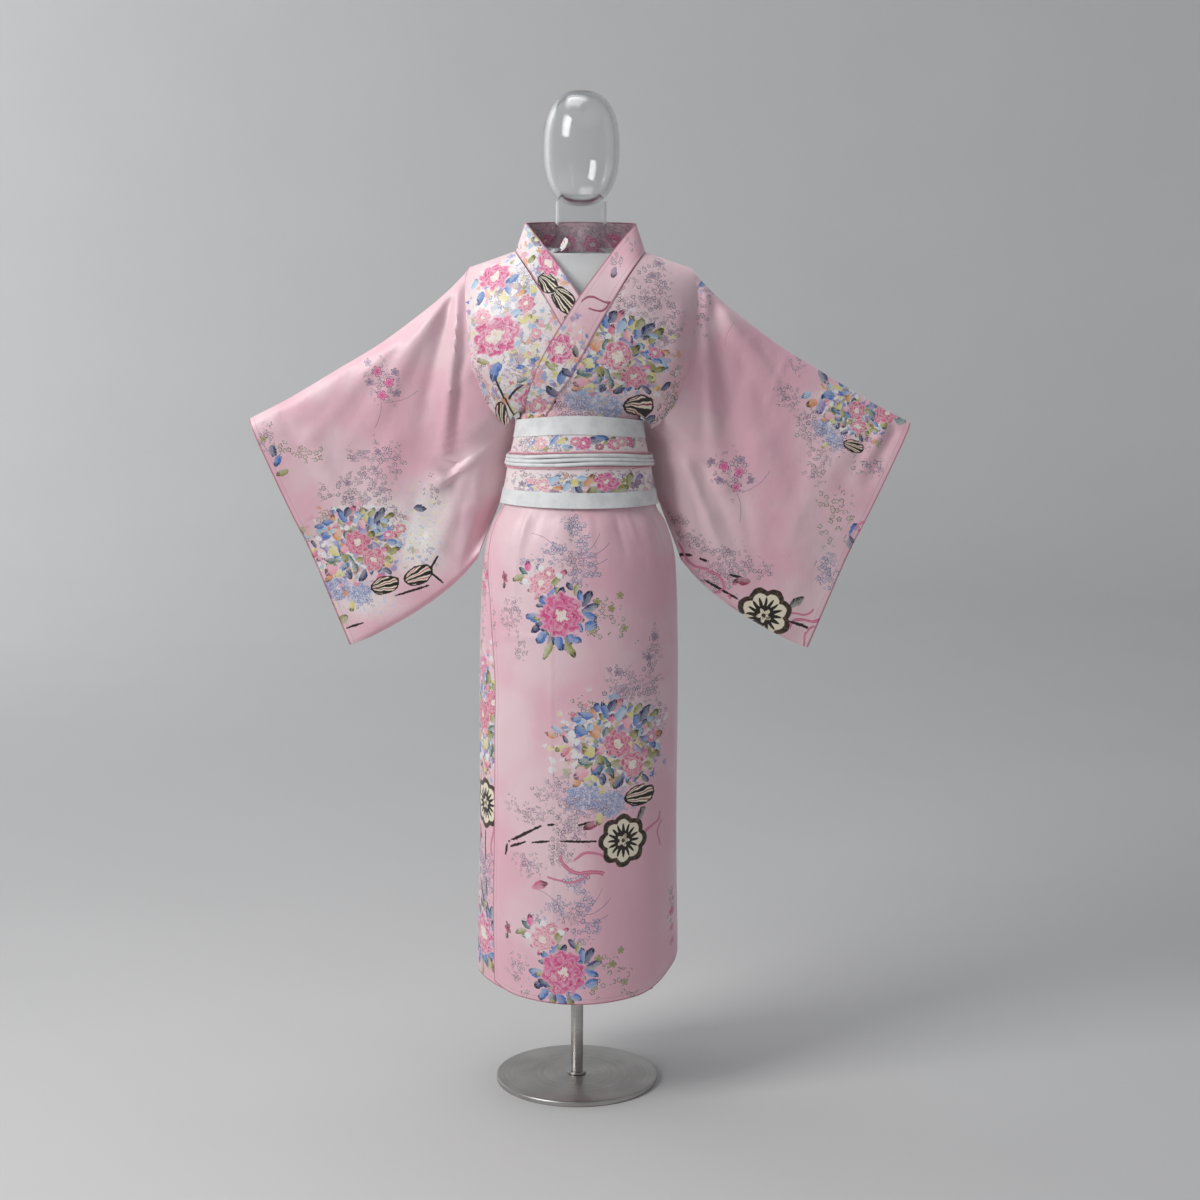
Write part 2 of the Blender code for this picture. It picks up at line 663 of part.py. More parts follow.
def sleeve_points(side, lapping):
    """Front and back cloth of a sleeve as two grids, columns along the arm and rows down."""
    front_edge, back_edge = armhole_edge(side, lapping)
    armhole_rows = len(front_edge)
    inner = np.array([[side * p[0], p[2]] for p in front_edge])
    free = along(SLEEVE_INNER, SLEEVE_ROWS_COUNT - armhole_rows)
    left = np.concatenate([inner + [ARMHOLE_GAP[side], 0.0], free])
    steps = np.concatenate([[0], np.cumsum(np.linalg.norm(np.diff(left, axis=0), axis=1))])
    shares = steps / steps[-1]
    top = along(SLEEVE_TOP, SLEEVE_COLUMNS_COUNT)
    bottom = along(SLEEVE_BOTTOM, SLEEVE_COLUMNS_COUNT)
    cuff_line = np.array(SLEEVE_CUFF)
    cuff_steps = np.concatenate([[0], np.cumsum(np.linalg.norm(np.diff(cuff_line, axis=0), axis=1))])
    right = np.stack(
        [through(cuff_steps / cuff_steps[-1], cuff_line[:, i], shares) for i in range(2)], axis=-1
    )
    top[0], bottom[0] = left[0], left[-1]
    plan = np.zeros((SLEEVE_COLUMNS_COUNT, SLEEVE_ROWS_COUNT, 2))
    for k in range(SLEEVE_COLUMNS_COUNT):
        u = k / (SLEEVE_COLUMNS_COUNT - 1)
        for j, v in enumerate(shares):
            corners = (
                (1 - u) * (1 - v) * left[0] + u * (1 - v) * right[0]
                + (1 - u) * v * left[-1] + u * v * right[-1]
            )
            plan[k, j] = (
                (1 - u) * left[j] + u * right[j] + (1 - v) * top[k] + v * bottom[k] - corners
            )
    cuff_length = cuff_steps[-1]
    u_of = np.linspace(0, 1, SLEEVE_COLUMNS_COUNT)
    gap_along = column(SLEEVE_DEPTH, SLEEVE_DEPTH_COLUMNS, "along")
    upper = through(gap_along, column(SLEEVE_DEPTH, SLEEVE_DEPTH_COLUMNS, "upper"), u_of)
    lower = through(gap_along, column(SLEEVE_DEPTH, SLEEVE_DEPTH_COLUMNS, "lower"), u_of)
    x, z = plan[..., 0], plan[..., 1]
    folds = ridges(SLEEVE_FOLDS, SLEEVE_FOLD_COLUMNS, x, z)
    folds = folds * soft_step(u_of / FOLDS_FADE["armhole"])[:, None]
    folds = folds * soft_step((1 - u_of) / FOLDS_FADE["cuff"])[:, None]
    folds = folds * soft_step(shares / FOLDS_FADE["top"])[None, :]
    folds = folds * soft_step((1 - shares) / FOLDS_FADE["bottom"])[None, :]
    down = soft_step((shares - shares[armhole_rows - 1]) / SET_BACK_BELOW_ARMHOLE)
    down = down * soft_step((1 - shares) / SET_BACK_ABOVE_BOTTOM)
    inboard = 1 - soft_step(u_of / SET_BACK_LENGTH)
    set_back = SLEEVE_SET_BACK * inboard[:, None] * down[None, :]
    sheets = []
    for edge, sign in ((front_edge, -1.0), (back_edge, 1.0)):
        depth = np.zeros((SLEEVE_COLUMNS_COUNT, SLEEVE_ROWS_COUNT))
        for k, u in enumerate(u_of):
            for j, v in enumerate(shares):
                narrowed = float(soft_step(v / NARROWS_OVER))
                half = upper[k] + (lower[k] - upper[k]) * narrowed
                half *= math.sqrt(1 - (1 - min(v / TOP_ROUND, 1.0)) ** 2)
                if k == 0 and j < armhole_rows:
                    half = abs(edge[j][1])
                elif k in BESIDE_ARMHOLE and j < armhole_rows + 2:
                    near = abs(edge[min(j, armhole_rows - 1)][1])
                    half = near + (half - near) * BESIDE_ARMHOLE[k]
                past_opening = v * cuff_length - CUFF_OPENING
                shut = float(soft_step(past_opening / CUFF_SHUTS_OVER))
                shut *= float(soft_step((u - CUFF_SHUTS_FROM) / (1 - CUFF_SHUTS_FROM)))
                past_round = max(v - (1 - BOTTOM_ROUND), 0.0) / BOTTOM_ROUND
                depth[k, j] = half * math.sqrt(max(0.0, 1 - past_round**2)) * (1 - shut)
        y = sign * (depth + folds * (depth > 1e-6)) + set_back
        sheets.append(np.stack([side * x, y, z], axis=-1))
    closed_cuff = [v * cuff_length > CUFF_OPENING + CUFF_SEWN_PAST for v in shares]
    return sheets[0], sheets[1], closed_cuff


def material(name, colour, roughness, metallic=0.0, transmission=0.0):
    made = bpy.data.materials.get(name)
    if made:
        return made
    made = bpy.data.materials.new(name)
    made.use_nodes = True
    shader = made.node_tree.nodes["Principled BSDF"]
    shader.inputs["Base Color"].default_value = (*colour, 1.0)
    shader.inputs["Roughness"].default_value = roughness
    shader.inputs["Metallic"].default_value = metallic
    shader.inputs["Transmission Weight"].default_value = transmission
    made.diffuse_color = (*colour, 1.0)
    return made


def new_object(name, points, faces, finish):
    mesh = bpy.data.meshes.new(name)
    mesh.from_pydata([tuple(map(float, p)) for p in points], [], faces)
    mesh.validate()
    mesh.shade_smooth()
    made = bpy.data.objects.new(name, mesh)
    bpy.context.scene.collection.objects.link(made)
    made.data.materials.append(finish)
    return made


def thicken(made, wall, outwards=1.0):
    """Gives a sheet its wall: 1 adds it on the outside, 0 on both sides alike."""
    solid = made.modifiers.new("Wall", "SOLIDIFY")
    solid.thickness = wall
    solid.offset = outwards
    solid.use_quality_normals = True
    return made


def cloth_grid(name, grid, wall, finish, flip, outwards=1.0, closed=False):
    """A wall of cloth through a grid of points, rows by columns. A closed grid meets itself."""
    rows, columns = grid.shape[:2]
    faces = []
    for i in range(rows - 1):
        for j in range(columns if closed else columns - 1):
            k = (j + 1) % columns
            quad = (i * columns + j, i * columns + k, (i + 1) * columns + k, (i + 1) * columns + j)
            faces.append(quad[::-1] if flip else quad)
    return thicken(new_object(name, grid.reshape(-1, 3), faces, finish), wall, outwards)


def make_panels(satin):
    for side, lapping, word in ((1, True, "left"), (-1, False, "right")):
        cloth_grid(f"body_{word}", migoro_points(side, lapping, 10), WALL, satin, side < 0)
        cloth_grid(f"okumi_{word}", okumi_points(side, lapping, 5), WALL, satin, side < 0)


def make_collar(satin):
    over = collar_half(1, True, 4)
    under = collar_half(-1, False, 4)
    cloth_grid("collar", np.concatenate([over, under[-2::-1]]), COLLAR_WALL, satin, False, 0.0)


def make_sleeve(word, side, lapping, satin):
    front, back, closed_cuff = sleeve_points(side, lapping)
    columns, rows = front.shape[:2]
    points = [tuple(p) for p in front.reshape(-1, 3)]
    index = {}
    for k in range(columns):
        for j in range(rows):
            shared = j in (0, rows - 1) or (k == columns - 1 and closed_cuff[j])
            if shared:
                x, _, z = front[k, j]
                points[k * rows + j] = (x, 0.0, z)
                index[k, j] = k * rows + j
            else:
                index[k, j] = len(points)
                points.append(tuple(back[k, j]))
    faces = []
    for k in range(columns - 1):
        for j in range(rows - 1):
            cell = ((k, j), (k, j + 1), (k + 1, j + 1), (k + 1, j))
            # The sewn corner is cut from inside to outside, so its two layers stay apart.
            in_corner = k == columns - 2 and j == rows - 2
            pieces = ((cell[0], cell[1], cell[2]), (cell[0], cell[2], cell[3]))
            for piece in pieces if in_corner else (cell,):
                face = tuple(a * rows + b for a, b in piece)
                faces.append(face if side > 0 else face[::-1])
                face = tuple(index[c] for c in piece)
                faces.append(face[::-1] if side > 0 else face)
    thicken(new_object(f"sleeve_{word}", points, faces, satin), WALL)


def obi_ring(height, lift, tilt=0.0):
    """A level ring around the waist, outside all the layers of cloth under it."""
    angles = np.linspace(0, 2 * math.pi, OBI_STEPS, endpoint=False)
    forward = np.cos(angles) > 0
    heights = height + tilt * np.sin(angles) * np.cos(angles) ** 2
    size = section(heights)
    depth = np.where(forward, size["front"], size["back"])
    wrapped = (angles + math.pi) % (2 * math.pi) - math.pi
    over_lap = lap_lift(wrapped) * (1 + OBI_COLLAR_ROOM / OVER_LIFT)
    out = lift + WALL + OBI_CLEARANCE + np.where(forward, over_lap, 0.0)
    turned = np.cos(angles) ** 2 * forward
    return np.stack(
        [
            (size["half_width"] + out) * np.sin(angles),
            -(depth + out) * np.cos(angles),
            heights + waist_bow(height) * turned,
        ],
        axis=-1,
    )


def ring_cord(name, height, radius, lift, finish, sides):
    """A round cord that runs once around the waist."""
    count = OBI_STEPS
    path = obi_ring(height, lift + radius, BAND_TILT)
    points = []
    for i in range(count):
        ahead = path[(i + 1) % count] - path[i - 1]
        ahead = ahead / np.linalg.norm(ahead)
        out = np.cross(ahead, (0.0, 0.0, 1.0))
        out = out / np.linalg.norm(out)
        up = np.cross(out, ahead)
        for k in range(sides):
            turn = 2 * math.pi * k / sides
            points.append(path[i] + radius * (math.cos(turn) * out + math.sin(turn) * up))
    faces = []
    for i in range(count):
        for k in range(sides):
            a, b = i * sides, (i + 1) % count * sides
            faces.append((a + k, b + k, b + (k + 1) % sides, a + (k + 1) % sides))
    return new_object(name, points, faces, finish)


def make_obi(satin, white, pink):
    on_band = OBI_WALL + PIECE_GAP
    for name, rows, lift, wall, finish in (
        ("obi_band", OBI_ROWS, 0.0, OBI_WALL, satin),
        ("obi_trim_top", OBI_ROWS[-2:], on_band, TRIM_WALL, white),
        ("obi_trim_bottom", OBI_ROWS[:2], on_band, TRIM_WALL, white),
    ):
        grid = np.array([obi_ring(height, lift) for height in rows])
        cloth_grid(name, grid, wall, finish, False, closed=True)
    for number, height in enumerate(STRAND_HEIGHTS, 1):
        ring_cord(f"waist_cord_{number}", height, STRAND_RADIUS, on_band, white, 5)
    for word, height in zip(("lower", "upper"), PIPING_HEIGHTS):
        ring_cord(f"piping_{word}", height, PIPING_RADIUS, on_band, pink, 4)


def superellipse(half_width, half_depth, squareness, count):
    turn = np.linspace(0, 2 * math.pi, count, endpoint=False)
    c, s = np.cos(turn), np.sin(turn)
    power = 2 / squareness
    return np.stack(
        [
            half_width * np.sign(s) * np.abs(s) ** power,
            -half_depth * np.sign(c) * np.abs(c) ** power,
        ],
        axis=-1,
    )


def lofted(name, rings, finish):
    """A closed body through rings of points, with a flat cap on each end."""
    count = len(rings[0])
    points = [tuple(p) for ring in rings for p in ring]
    faces = []
    for i in range(len(rings) - 1):
        for k in range(count):
            a, b = i * count, (i + 1) * count
            n = (k + 1) % count
            faces.append((a + k, a + n, b + n, b + k))
    faces.append(tuple(range(count))[::-1])
    faces.append(tuple((len(rings) - 1) * count + k for k in range(count)))
    return new_object(name, points, faces, finish)


def egg(name, scale, finish, rings=10, count=24):
    """The form's plain egg of a head, a little longer above its middle than below."""
    levels = np.radians(np.linspace(-84, 84, rings))
    made = []
    for level in levels:
        tall = HEAD_UP if level > 0 else HEAD_DOWN
        height = HEAD_MIDDLE + scale * tall * math.sin(level)
        flat = superellipse(
            scale * HEAD_WIDTH * math.cos(level), scale * HEAD_DEPTH * math.cos(level), 2.0, count
        )
        made.append([(x, y, height) for x, y in flat])
    return lofted(name, made, finish)


def make_form(clear):
    rings = []
    for row in TORSO:
        sizes = dict(zip(TORSO_COLUMNS, row))
        flat = superellipse(
            sizes["half_width"], sizes["half_depth"], sizes["squareness"], TORSO_SIDES
        )
        rings.append([(x, y, sizes["height"]) for x, y in flat])
    torso = lofted("form_torso", rings, clear)
    egg("form_head", 1.0, clear)
    seat = egg("seat_cutter", HEAD_SEAT, clear)
    seat.hide_render = True
    seat.display_type = "WIRE"
    cut = torso.modifiers.new("Head seat", "BOOLEAN")
    cut.object = seat
    return torso


def turned(name, outline, sides, finish):
    """A round piece: the outline's (radius, height) points turned about the Z axis."""
    rings = []
    for radius, height in outline:
        angles = np.linspace(0, 2 * math.pi, sides, endpoint=False)
        rings.append([(radius * math.sin(a), -radius * math.cos(a), height) for a in angles])
    return lofted(name, rings, finish)


def make_stand(steel):
    round_low = [
        (BASE_RADIUS - BASE_ROUND * (1 - math.sin(a)), BASE_ROUND * (1 - math.cos(a)))
        for a in np.radians([0, 45, 90])
    ]
    round_high = [(r, BASE_HEIGHT - z) for r, z in reversed(round_low)]
    turned("base", round_low + round_high, 48, steel)
    foot_bottom = BASE_HEIGHT + FORM_GAP
    turned(
        "pole_foot",
        [
            (FOOT_RADIUS, foot_bottom),
            (FOOT_RADIUS, foot_bottom + FOOT_HEIGHT * 0.7),
            (FOOT_RADIUS - 0.0012, foot_bottom + FOOT_HEIGHT),
        ],
        24,
        steel,
    )
    pole_bottom = foot_bottom + FOOT_HEIGHT + FORM_GAP
    plug_top = TORSO[0][0] - FORM_GAP
    plug_bottom = plug_top - PLUG_HEIGHT
    turned("pole", [(POLE_RADIUS, pole_bottom), (POLE_RADIUS, plug_bottom - FORM_GAP)], 24, steel)
    turned("pole_plug", [(PLUG_RADIUS, plug_bottom), (PLUG_RADIUS, plug_top)], 24, steel)


def main():
    for old in list(bpy.data.objects):
        bpy.data.objects.remove(old)
    satin = material("pink satin", (0.80, 0.47, 0.51), 0.40)
    white = material("white satin", (0.82, 0.82, 0.83), 0.45)
    pink = material("rose piping", (0.80, 0.30, 0.42), 0.45)
    clear = material("clear acrylic", (0.90, 0.93, 0.94), 0.05, transmission=1.0)
    steel = material("brushed steel", (0.60, 0.59, 0.58), 0.32, metallic=1.0)
    make_panels(satin)
    make_collar(satin)
    make_sleeve("left", 1, True, satin)
    make_sleeve("right", -1, False, satin)
    make_obi(satin, white, pink)
    make_form(clear)
    make_stand(steel)


main()
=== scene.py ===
# %% [markdown]
# # A printed satin kimono on a clear dress form
# This lesson dresses a kimono stand in Blender. The solids of the stand and of each cut piece of
# cloth already exist as a frame, in metres, with the front towards -Y. We load that frame, look at
# its size, and then make every visible surface around it: thin cloth with folds, a flower print that
# follows the cloth, a ready-made sash, a clear moulded form and a brushed steel foot.

# %% Load the frame
import math
from functools import partialmethod

import bmesh
import bpy
import numpy as np
from mathutils import Matrix, Vector


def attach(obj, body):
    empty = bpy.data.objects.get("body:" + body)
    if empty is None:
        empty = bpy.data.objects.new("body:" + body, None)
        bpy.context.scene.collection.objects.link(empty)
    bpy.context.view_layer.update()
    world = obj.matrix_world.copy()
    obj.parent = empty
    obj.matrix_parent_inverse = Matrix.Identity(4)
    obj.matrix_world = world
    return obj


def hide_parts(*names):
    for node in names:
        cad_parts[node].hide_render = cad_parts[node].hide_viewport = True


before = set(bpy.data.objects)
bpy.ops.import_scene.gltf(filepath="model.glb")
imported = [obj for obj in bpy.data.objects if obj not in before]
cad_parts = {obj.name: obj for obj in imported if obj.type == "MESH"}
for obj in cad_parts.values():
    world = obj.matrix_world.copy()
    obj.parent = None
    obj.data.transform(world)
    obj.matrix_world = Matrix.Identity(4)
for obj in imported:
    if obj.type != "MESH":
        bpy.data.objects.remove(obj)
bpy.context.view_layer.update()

# %% [markdown]
# ## Camera
# The picture was taken from about 4.4 m away with a long lens, looking 10 degrees down. A long lens
# keeps the garment's proportions flat and calm, so we set the lens before any modelling. A small roll
# matches the slight lean of the picture.

# %% Make the camera
CAMERA_PLACE = (0.038, -4.40, 1.684)
CAMERA_PITCH = 10.0
CAMERA_ROLL = 0.35
LENS = 74.1


def new_object(name, data):
    """An object for this data, linked to the scene."""
    made = bpy.data.objects.new(name, data)
    bpy.context.scene.collection.objects.link(made)
    return made


camera_data = bpy.data.cameras.new("Camera")
camera_data.lens = LENS
camera_data.sensor_width = 36.0
camera_data.clip_end = 60.0
camera = new_object("Camera", camera_data)
camera.matrix_world = (
    Matrix.Translation(CAMERA_PLACE)
    @ Matrix.Rotation(math.radians(90 - CAMERA_PITCH), 4, "X")
    @ Matrix.Rotation(math.radians(CAMERA_ROLL), 4, "Z")
)
bpy.context.scene.camera = camera
print("camera looks down", CAMERA_PITCH, "degrees")

# %% [markdown]
# ## Curves and tables
# A garment is easier to shape from a few measured sections than from hand-placed points. Two small
# helpers do most of the work: one draws a smooth curve through measured values and never swings past
# them, the other fades from 0 to 1 so that every fold and lift can start and end softly.

# %% Helpers for smooth curves
def through(known_x, known_y, x):
    """A smooth curve through points that never swings past them."""
    known_x = np.asarray(known_x, float)
    known_y = np.asarray(known_y, float)
    x = np.clip(np.asarray(x, float), known_x[0], known_x[-1])
    steps = np.diff(known_x)
    slopes = np.diff(known_y) / steps
    both = slopes[:-1] * slopes[1:]
    inner = np.where(both > 0, 2 * both / (slopes[:-1] + slopes[1:] + 1e-12), 0.0)
    tangents = np.concatenate([slopes[:1], inner, slopes[-1:]])
    i = np.clip(np.searchsorted(known_x, x, side="right") - 1, 0, len(steps) - 1)
    t = (x - known_x[i]) / steps[i]
    return (
        known_y[i] * (1 + 2 * t) * (1 - t) ** 2
        + known_y[i + 1] * t**2 * (3 - 2 * t)
        + steps[i] * t * (1 - t) * (tangents[i] * (1 - t) - tangents[i + 1] * t)
    )


def soft_step(value):
    """0 below 0, 1 above 1, with an S curve between."""
    value = np.clip(value, 0.0, 1.0)
    return value * value * (3 - 2 * value)


def columns_of(names, rows):
    """A table with named columns, as one array for each name."""
    return dict(zip(names, np.array(rows, float).T))


# %% [markdown]
# ## The trunk's sections
# The cloth hangs round the form as a tube. Each row below is a level section: how wide it is, how
# deep in front and behind, and where its side seam lies. The same table shaped the solids, so the
# thin cloth made here sits exactly on them.

# %% Sections, shoulders and edges of the cloth
SECTION = columns_of(
    ("height", "half_width", "side_depth", "front", "back"),
    (
        (0.2220, 0.1840, 0.000, 0.1600, 0.1660),
        (0.3450, 0.1820, 0.000, 0.1550, 0.1600),
        (0.5350, 0.1790, 0.000, 0.1460, 0.1500),
        (0.7230, 0.1790, 0.000, 0.1370, 0.1400),
        (0.8340, 0.1780, 0.000, 0.1310, 0.1340),
        (0.9080, 0.1750, 0.000, 0.1270, 0.1310),
        (0.9810, 0.1700, 0.000, 0.1210, 0.1280),
        (1.0180, 0.1630, 0.000, 0.1160, 0.1230),
        (1.0540, 0.1500, 0.000, 0.1080, 0.1140),
        (1.0760, 0.1380, 0.000, 0.1010, 0.1050),
        (1.0895, 0.1340, 0.000, 0.0970, 0.1000),
        (1.1630, 0.1200, 0.000, 0.0875, 0.0910),
        (1.2360, 0.1060, 0.000, 0.0780, 0.0820),
        (1.2480, 0.1070, 0.004, 0.0785, 0.0830),
        (1.2560, 0.1180, 0.012, 0.0830, 0.0890),
        (1.2640, 0.1340, 0.022, 0.0880, 0.0960),
        (1.2740, 0.1490, 0.033, 0.0940, 0.1030),
        (1.2920, 0.1680, 0.044, 0.1040, 0.1100),
        (1.3300, 0.1900, 0.055, 0.1160, 0.1170),
    ),
)
HEM_HEIGHT = 0.222
CHEST_HEIGHT = 1.330
CHEST_HALF = 0.190
OBI_BOTTOM = 1.0895
OBI_TOP = 1.236
OBI_BOW = 0.015
OVER_LIFT = 0.0057
OVER_FADE_START, OVER_FADE = math.radians(35), math.radians(50)
SEAM = 0.00008
SIDE_SEAM_ANGLE = math.radians(0.12)
LIFT_FADE_ANGLE = math.radians(22)
OKUMI_SEAM_X = -0.040
UNDER_EDGE_ANGLE = math.radians(-48)
SIDE_DROOP = 0.050
HEM_DIP = 0.022
DIP_HEIGHT, DIP_FADE = 0.60, 0.40
CORNER_LIFT = 0.044
CORNER_SPREAD = math.radians(56)
CORNER_HEIGHT, CORNER_FADE = 0.42, 0.20
BLOUSE_LOW, BLOUSE_RISE, BLOUSE_FADE = 1.252, 0.012, 0.055
BOW_FADE = 0.06
RIDGE = columns_of(
    ("x", "height"),
    ((0.000, 1.544), (0.080, 1.540), (0.115, 1.531), (0.155, 1.517), (0.210, 1.498)),
)
FRONT_ROUNDNESS = 0.80
BACK_ROUNDNESS = 0.60
SHOULDER_HALF = 0.1935
CHEST_ROUND_HALF = 0.214
ARMHOLE_BULGE = 0.0095
NECK_HALF = 0.115
NECK_BACK = 0.072
NECK_EDGE_ROUNDS = 12
SEWN = columns_of(
    ("height", "x"),
    (
        (1.100, -0.108), (1.170, -0.083), (1.255, -0.048), (1.322, -0.014),
        (1.436, 0.049), (1.503, 0.093), (1.531, 0.115),
    ),
)
LAP = columns_of(
    ("height", "degrees"),
    (
        (0.200, -51.5), (0.400, -54.0), (0.750, -53.5), (0.900, -60.0), (0.990, -68.0),
        (1.060, -72.0), (1.090, -70.0), (1.125, -60.0), (1.163, -49.0),
    ),
)
LAP_TOP = 1.175
OKUMI_TOP = 1.263
print("sections:", len(SECTION["height"]), "from", HEM_HEIGHT, "to", CHEST_HEIGHT, "m")

# %% [markdown]
# ## Folds
# Satin shows its folds more than anything else, because each one catches the light along its whole
# length. The main folds are in the solids too. Finer ones are added here: gathers that the sash
# pinches, the two long packing creases, and soft drags in the skirt. Every fold is a soft ridge
# between two places that runs out towards its end, given in degrees round the trunk and in heights.

# %% Fold tables
# Each row: from where and at which height, to where and at which height, width, how far out.
TRUNK_FOLDS = (
    (-44, 1.090, -52, 0.940, 0.018, 0.0040),
    (-10, 1.090, -12, 0.960, 0.018, 0.0035),
    (16, 1.090, 15, 0.990, 0.018, 0.0030),
    (48, 1.090, 52, 0.950, 0.018, 0.0040),
    (74, 1.090, 78, 0.900, 0.020, 0.0045),
    (-80, 1.090, -82, 0.900, 0.018, 0.0040),
    (38, 0.700, 46, 0.250, 0.026, 0.0045),
    (112, 1.090, 108, 0.900, 0.020, 0.0045),
    (138, 1.090, 140, 0.960, 0.020, 0.0040),
    (163, 1.090, 160, 0.930, 0.018, 0.0045),
    (-116, 1.090, -112, 0.930, 0.020, 0.0045),
    (-141, 1.090, -144, 0.950, 0.020, 0.0040),
    (-165, 1.090, -168, 0.920, 0.018, 0.0040),
    (150, 0.850, 146, 0.300, 0.028, 0.0045),
    (-132, 0.800, -138, 0.320, 0.028, 0.0045),
    (-57, 1.086, -63, 1.010, 0.005, 0.0029),
    (-37, 1.086, -40, 0.900, 0.006, 0.0040),
    (-28, 1.086, -30, 1.030, 0.005, -0.0025),
    (-4, 1.086, -3, 1.020, 0.005, -0.0029),
    (7, 1.086, 7, 0.980, 0.006, 0.0032),
    (26, 1.086, 29, 1.000, 0.006, -0.0029),
    (35, 1.086, 38, 1.030, 0.005, 0.0029),
    (61, 1.086, 66, 0.960, 0.007, -0.0032),
    (-15.5, 0.930, -13.5, 0.300, 0.0035, 0.0012),
    (-48, 0.700, -44, 0.240, 0.014, 0.0022),
    (8, 0.560, 12, 0.240, 0.020, 0.0018),
    (57, 0.640, 61, 0.225, 0.010, -0.0026),
    (64, 0.880, 66, 0.420, 0.012, 0.0020),
    (92, 1.000, 96, 0.420, 0.012, -0.0020),
    (126, 1.086, 124, 1.000, 0.006, -0.0029),
    (150, 1.086, 151, 0.980, 0.006, 0.0032),
    (172, 1.086, 171, 0.990, 0.006, -0.0029),
    (-127, 1.086, -124, 0.990, 0.006, 0.0032),
    (-153, 1.086, -154, 1.000, 0.006, -0.0029),
    (-176, 1.086, -175, 1.010, 0.006, 0.0025),
)
BODICE_FOLDS = (
    (-58, 1.420, -52, 1.275, 0.018, 0.0060),
    (52, 1.420, 46, 1.275, 0.018, 0.0060),
    (128, 1.420, 134, 1.275, 0.020, 0.0060),
    (-128, 1.420, -136, 1.275, 0.020, 0.0060),
    (156, 1.360, 152, 1.275, 0.018, 0.0045),
    (-154, 1.360, -158, 1.275, 0.018, 0.0045),
    (-40, 1.400, -33, 1.272, 0.010, -0.0026),
    (-66, 1.360, -60, 1.270, 0.008, -0.0024),
    (30, 1.380, 22, 1.272, 0.009, -0.0022),
    (64, 1.390, 60, 1.270, 0.009, -0.0026),
    (142, 1.400, 146, 1.272, 0.010, -0.0024),
    (-142, 1.400, -148, 1.272, 0.010, -0.0024),
)
CREASES = columns_of(
    ("height", "from_degrees", "to_degrees", "size"),
    ((0.860, -52, -14, 0.0022), (0.545, -30, 60, 0.0013), (0.700, 110, 175, 0.0013)),
)
FOLD_RADIUS = 0.15
FOLD_SCALE = math.radians(1) * FOLD_RADIUS
FOLD_RUN_OUT = 0.75
CREASE_WIDTH = 0.0042
CREASE_END_DEGREES = 6
SKIRT_CLEAR, SKIRT_FADE = 0.004, 0.03
BODICE_LOW, BODICE_FADE = 1.262, 0.02


def ridges(table, scale, across, up):
    """How far out the cloth stands at a place. Scale turns the table's first column into metres."""
    total = np.zeros(np.broadcast(across, up).shape)
    for x0, z0, x1, z1, width, size in table:
        run = np.array([(x1 - x0) * scale, z1 - z0])
        dx = across - x0 * scale
        dz = up - z0
        near = np.clip((dx * run[0] + dz * run[1]) / (run @ run), 0, 1)
        away = np.hypot(dx - near * run[0], dz - near * run[1])
        total = total + size * (1 - FOLD_RUN_OUT * near) * np.exp(-((away / width) ** 2))
    return total


def trunk_folds(degrees, height):
    """Folds and creases of skirt and bodice. They fade out where the sash holds the cloth."""
    below = soft_step((OBI_BOTTOM - SKIRT_CLEAR - height) / SKIRT_FADE)
    above = soft_step((height - BODICE_LOW) / BODICE_FADE)
    total = below * ridges(TRUNK_FOLDS, FOLD_SCALE, degrees * FOLD_SCALE, height)
    total = total + above * ridges(BODICE_FOLDS, FOLD_SCALE, degrees * FOLD_SCALE, height)
    for crease, low, high, size in zip(*CREASES.values()):
        inside = soft_step((degrees - low) / CREASE_END_DEGREES)
        inside = inside * soft_step((high - degrees) / CREASE_END_DEGREES)
        total = total + size * inside * np.exp(-(((height - crease) / CREASE_WIDTH) ** 2))
    return total


print("folds:", len(TRUNK_FOLDS), "in the skirt,", len(BODICE_FOLDS), "in the bodice")

# %% [markdown]
# ## Surfaces from functions
# A panel could be sculpted, or draped by a cloth simulation. Here the worn shape is known from its
# sections, so a function gives each point exactly: the section gives the place, the surface's own
# normal gives the way out, and folds and lap are pushed out along it. Both halves of the garment use
# the same functions, with side 1 for the half that laps over and -1 for the one that lies under.

# %% Points of the trunk
NORMAL_STEP = 0.0004


def section(height):
    return {name: through(SECTION["height"], SECTION[name], height) for name in SECTION}


def sewn_x(height):
    return through(SEWN["height"], SEWN["x"], height)


def ridge_height(x):
    return through(RIDGE["x"], RIDGE["height"], np.abs(x))


def lap_lift(angle):
    return OVER_LIFT * soft_step((math.pi / 2 - np.abs(angle)) / LIFT_FADE_ANGLE)


def waist_bow(height):
    over_obi = soft_step((height - OBI_BOTTOM) / (OBI_TOP - OBI_BOTTOM))
    return OBI_BOW * over_obi * soft_step((CHEST_HEIGHT - height) / BOW_FADE)


def end_angle(size, depth):
    """The angle at which the rounded front or back of a section meets its side."""
    return np.arccos(np.clip(size["side_depth"] / depth, 0, 1))


def outward_normal(base, first, second, side):
    """The outward unit normal of a surface that is given as a function of two values."""
    along = base(first + NORMAL_STEP, second) - base(first - NORMAL_STEP, second)
    across = base(first, second + NORMAL_STEP) - base(first, second - NORMAL_STEP)
    normal = side * np.cross(across, along)
    return normal / np.maximum(np.linalg.norm(normal, axis=-1, keepdims=True), 1e-12)


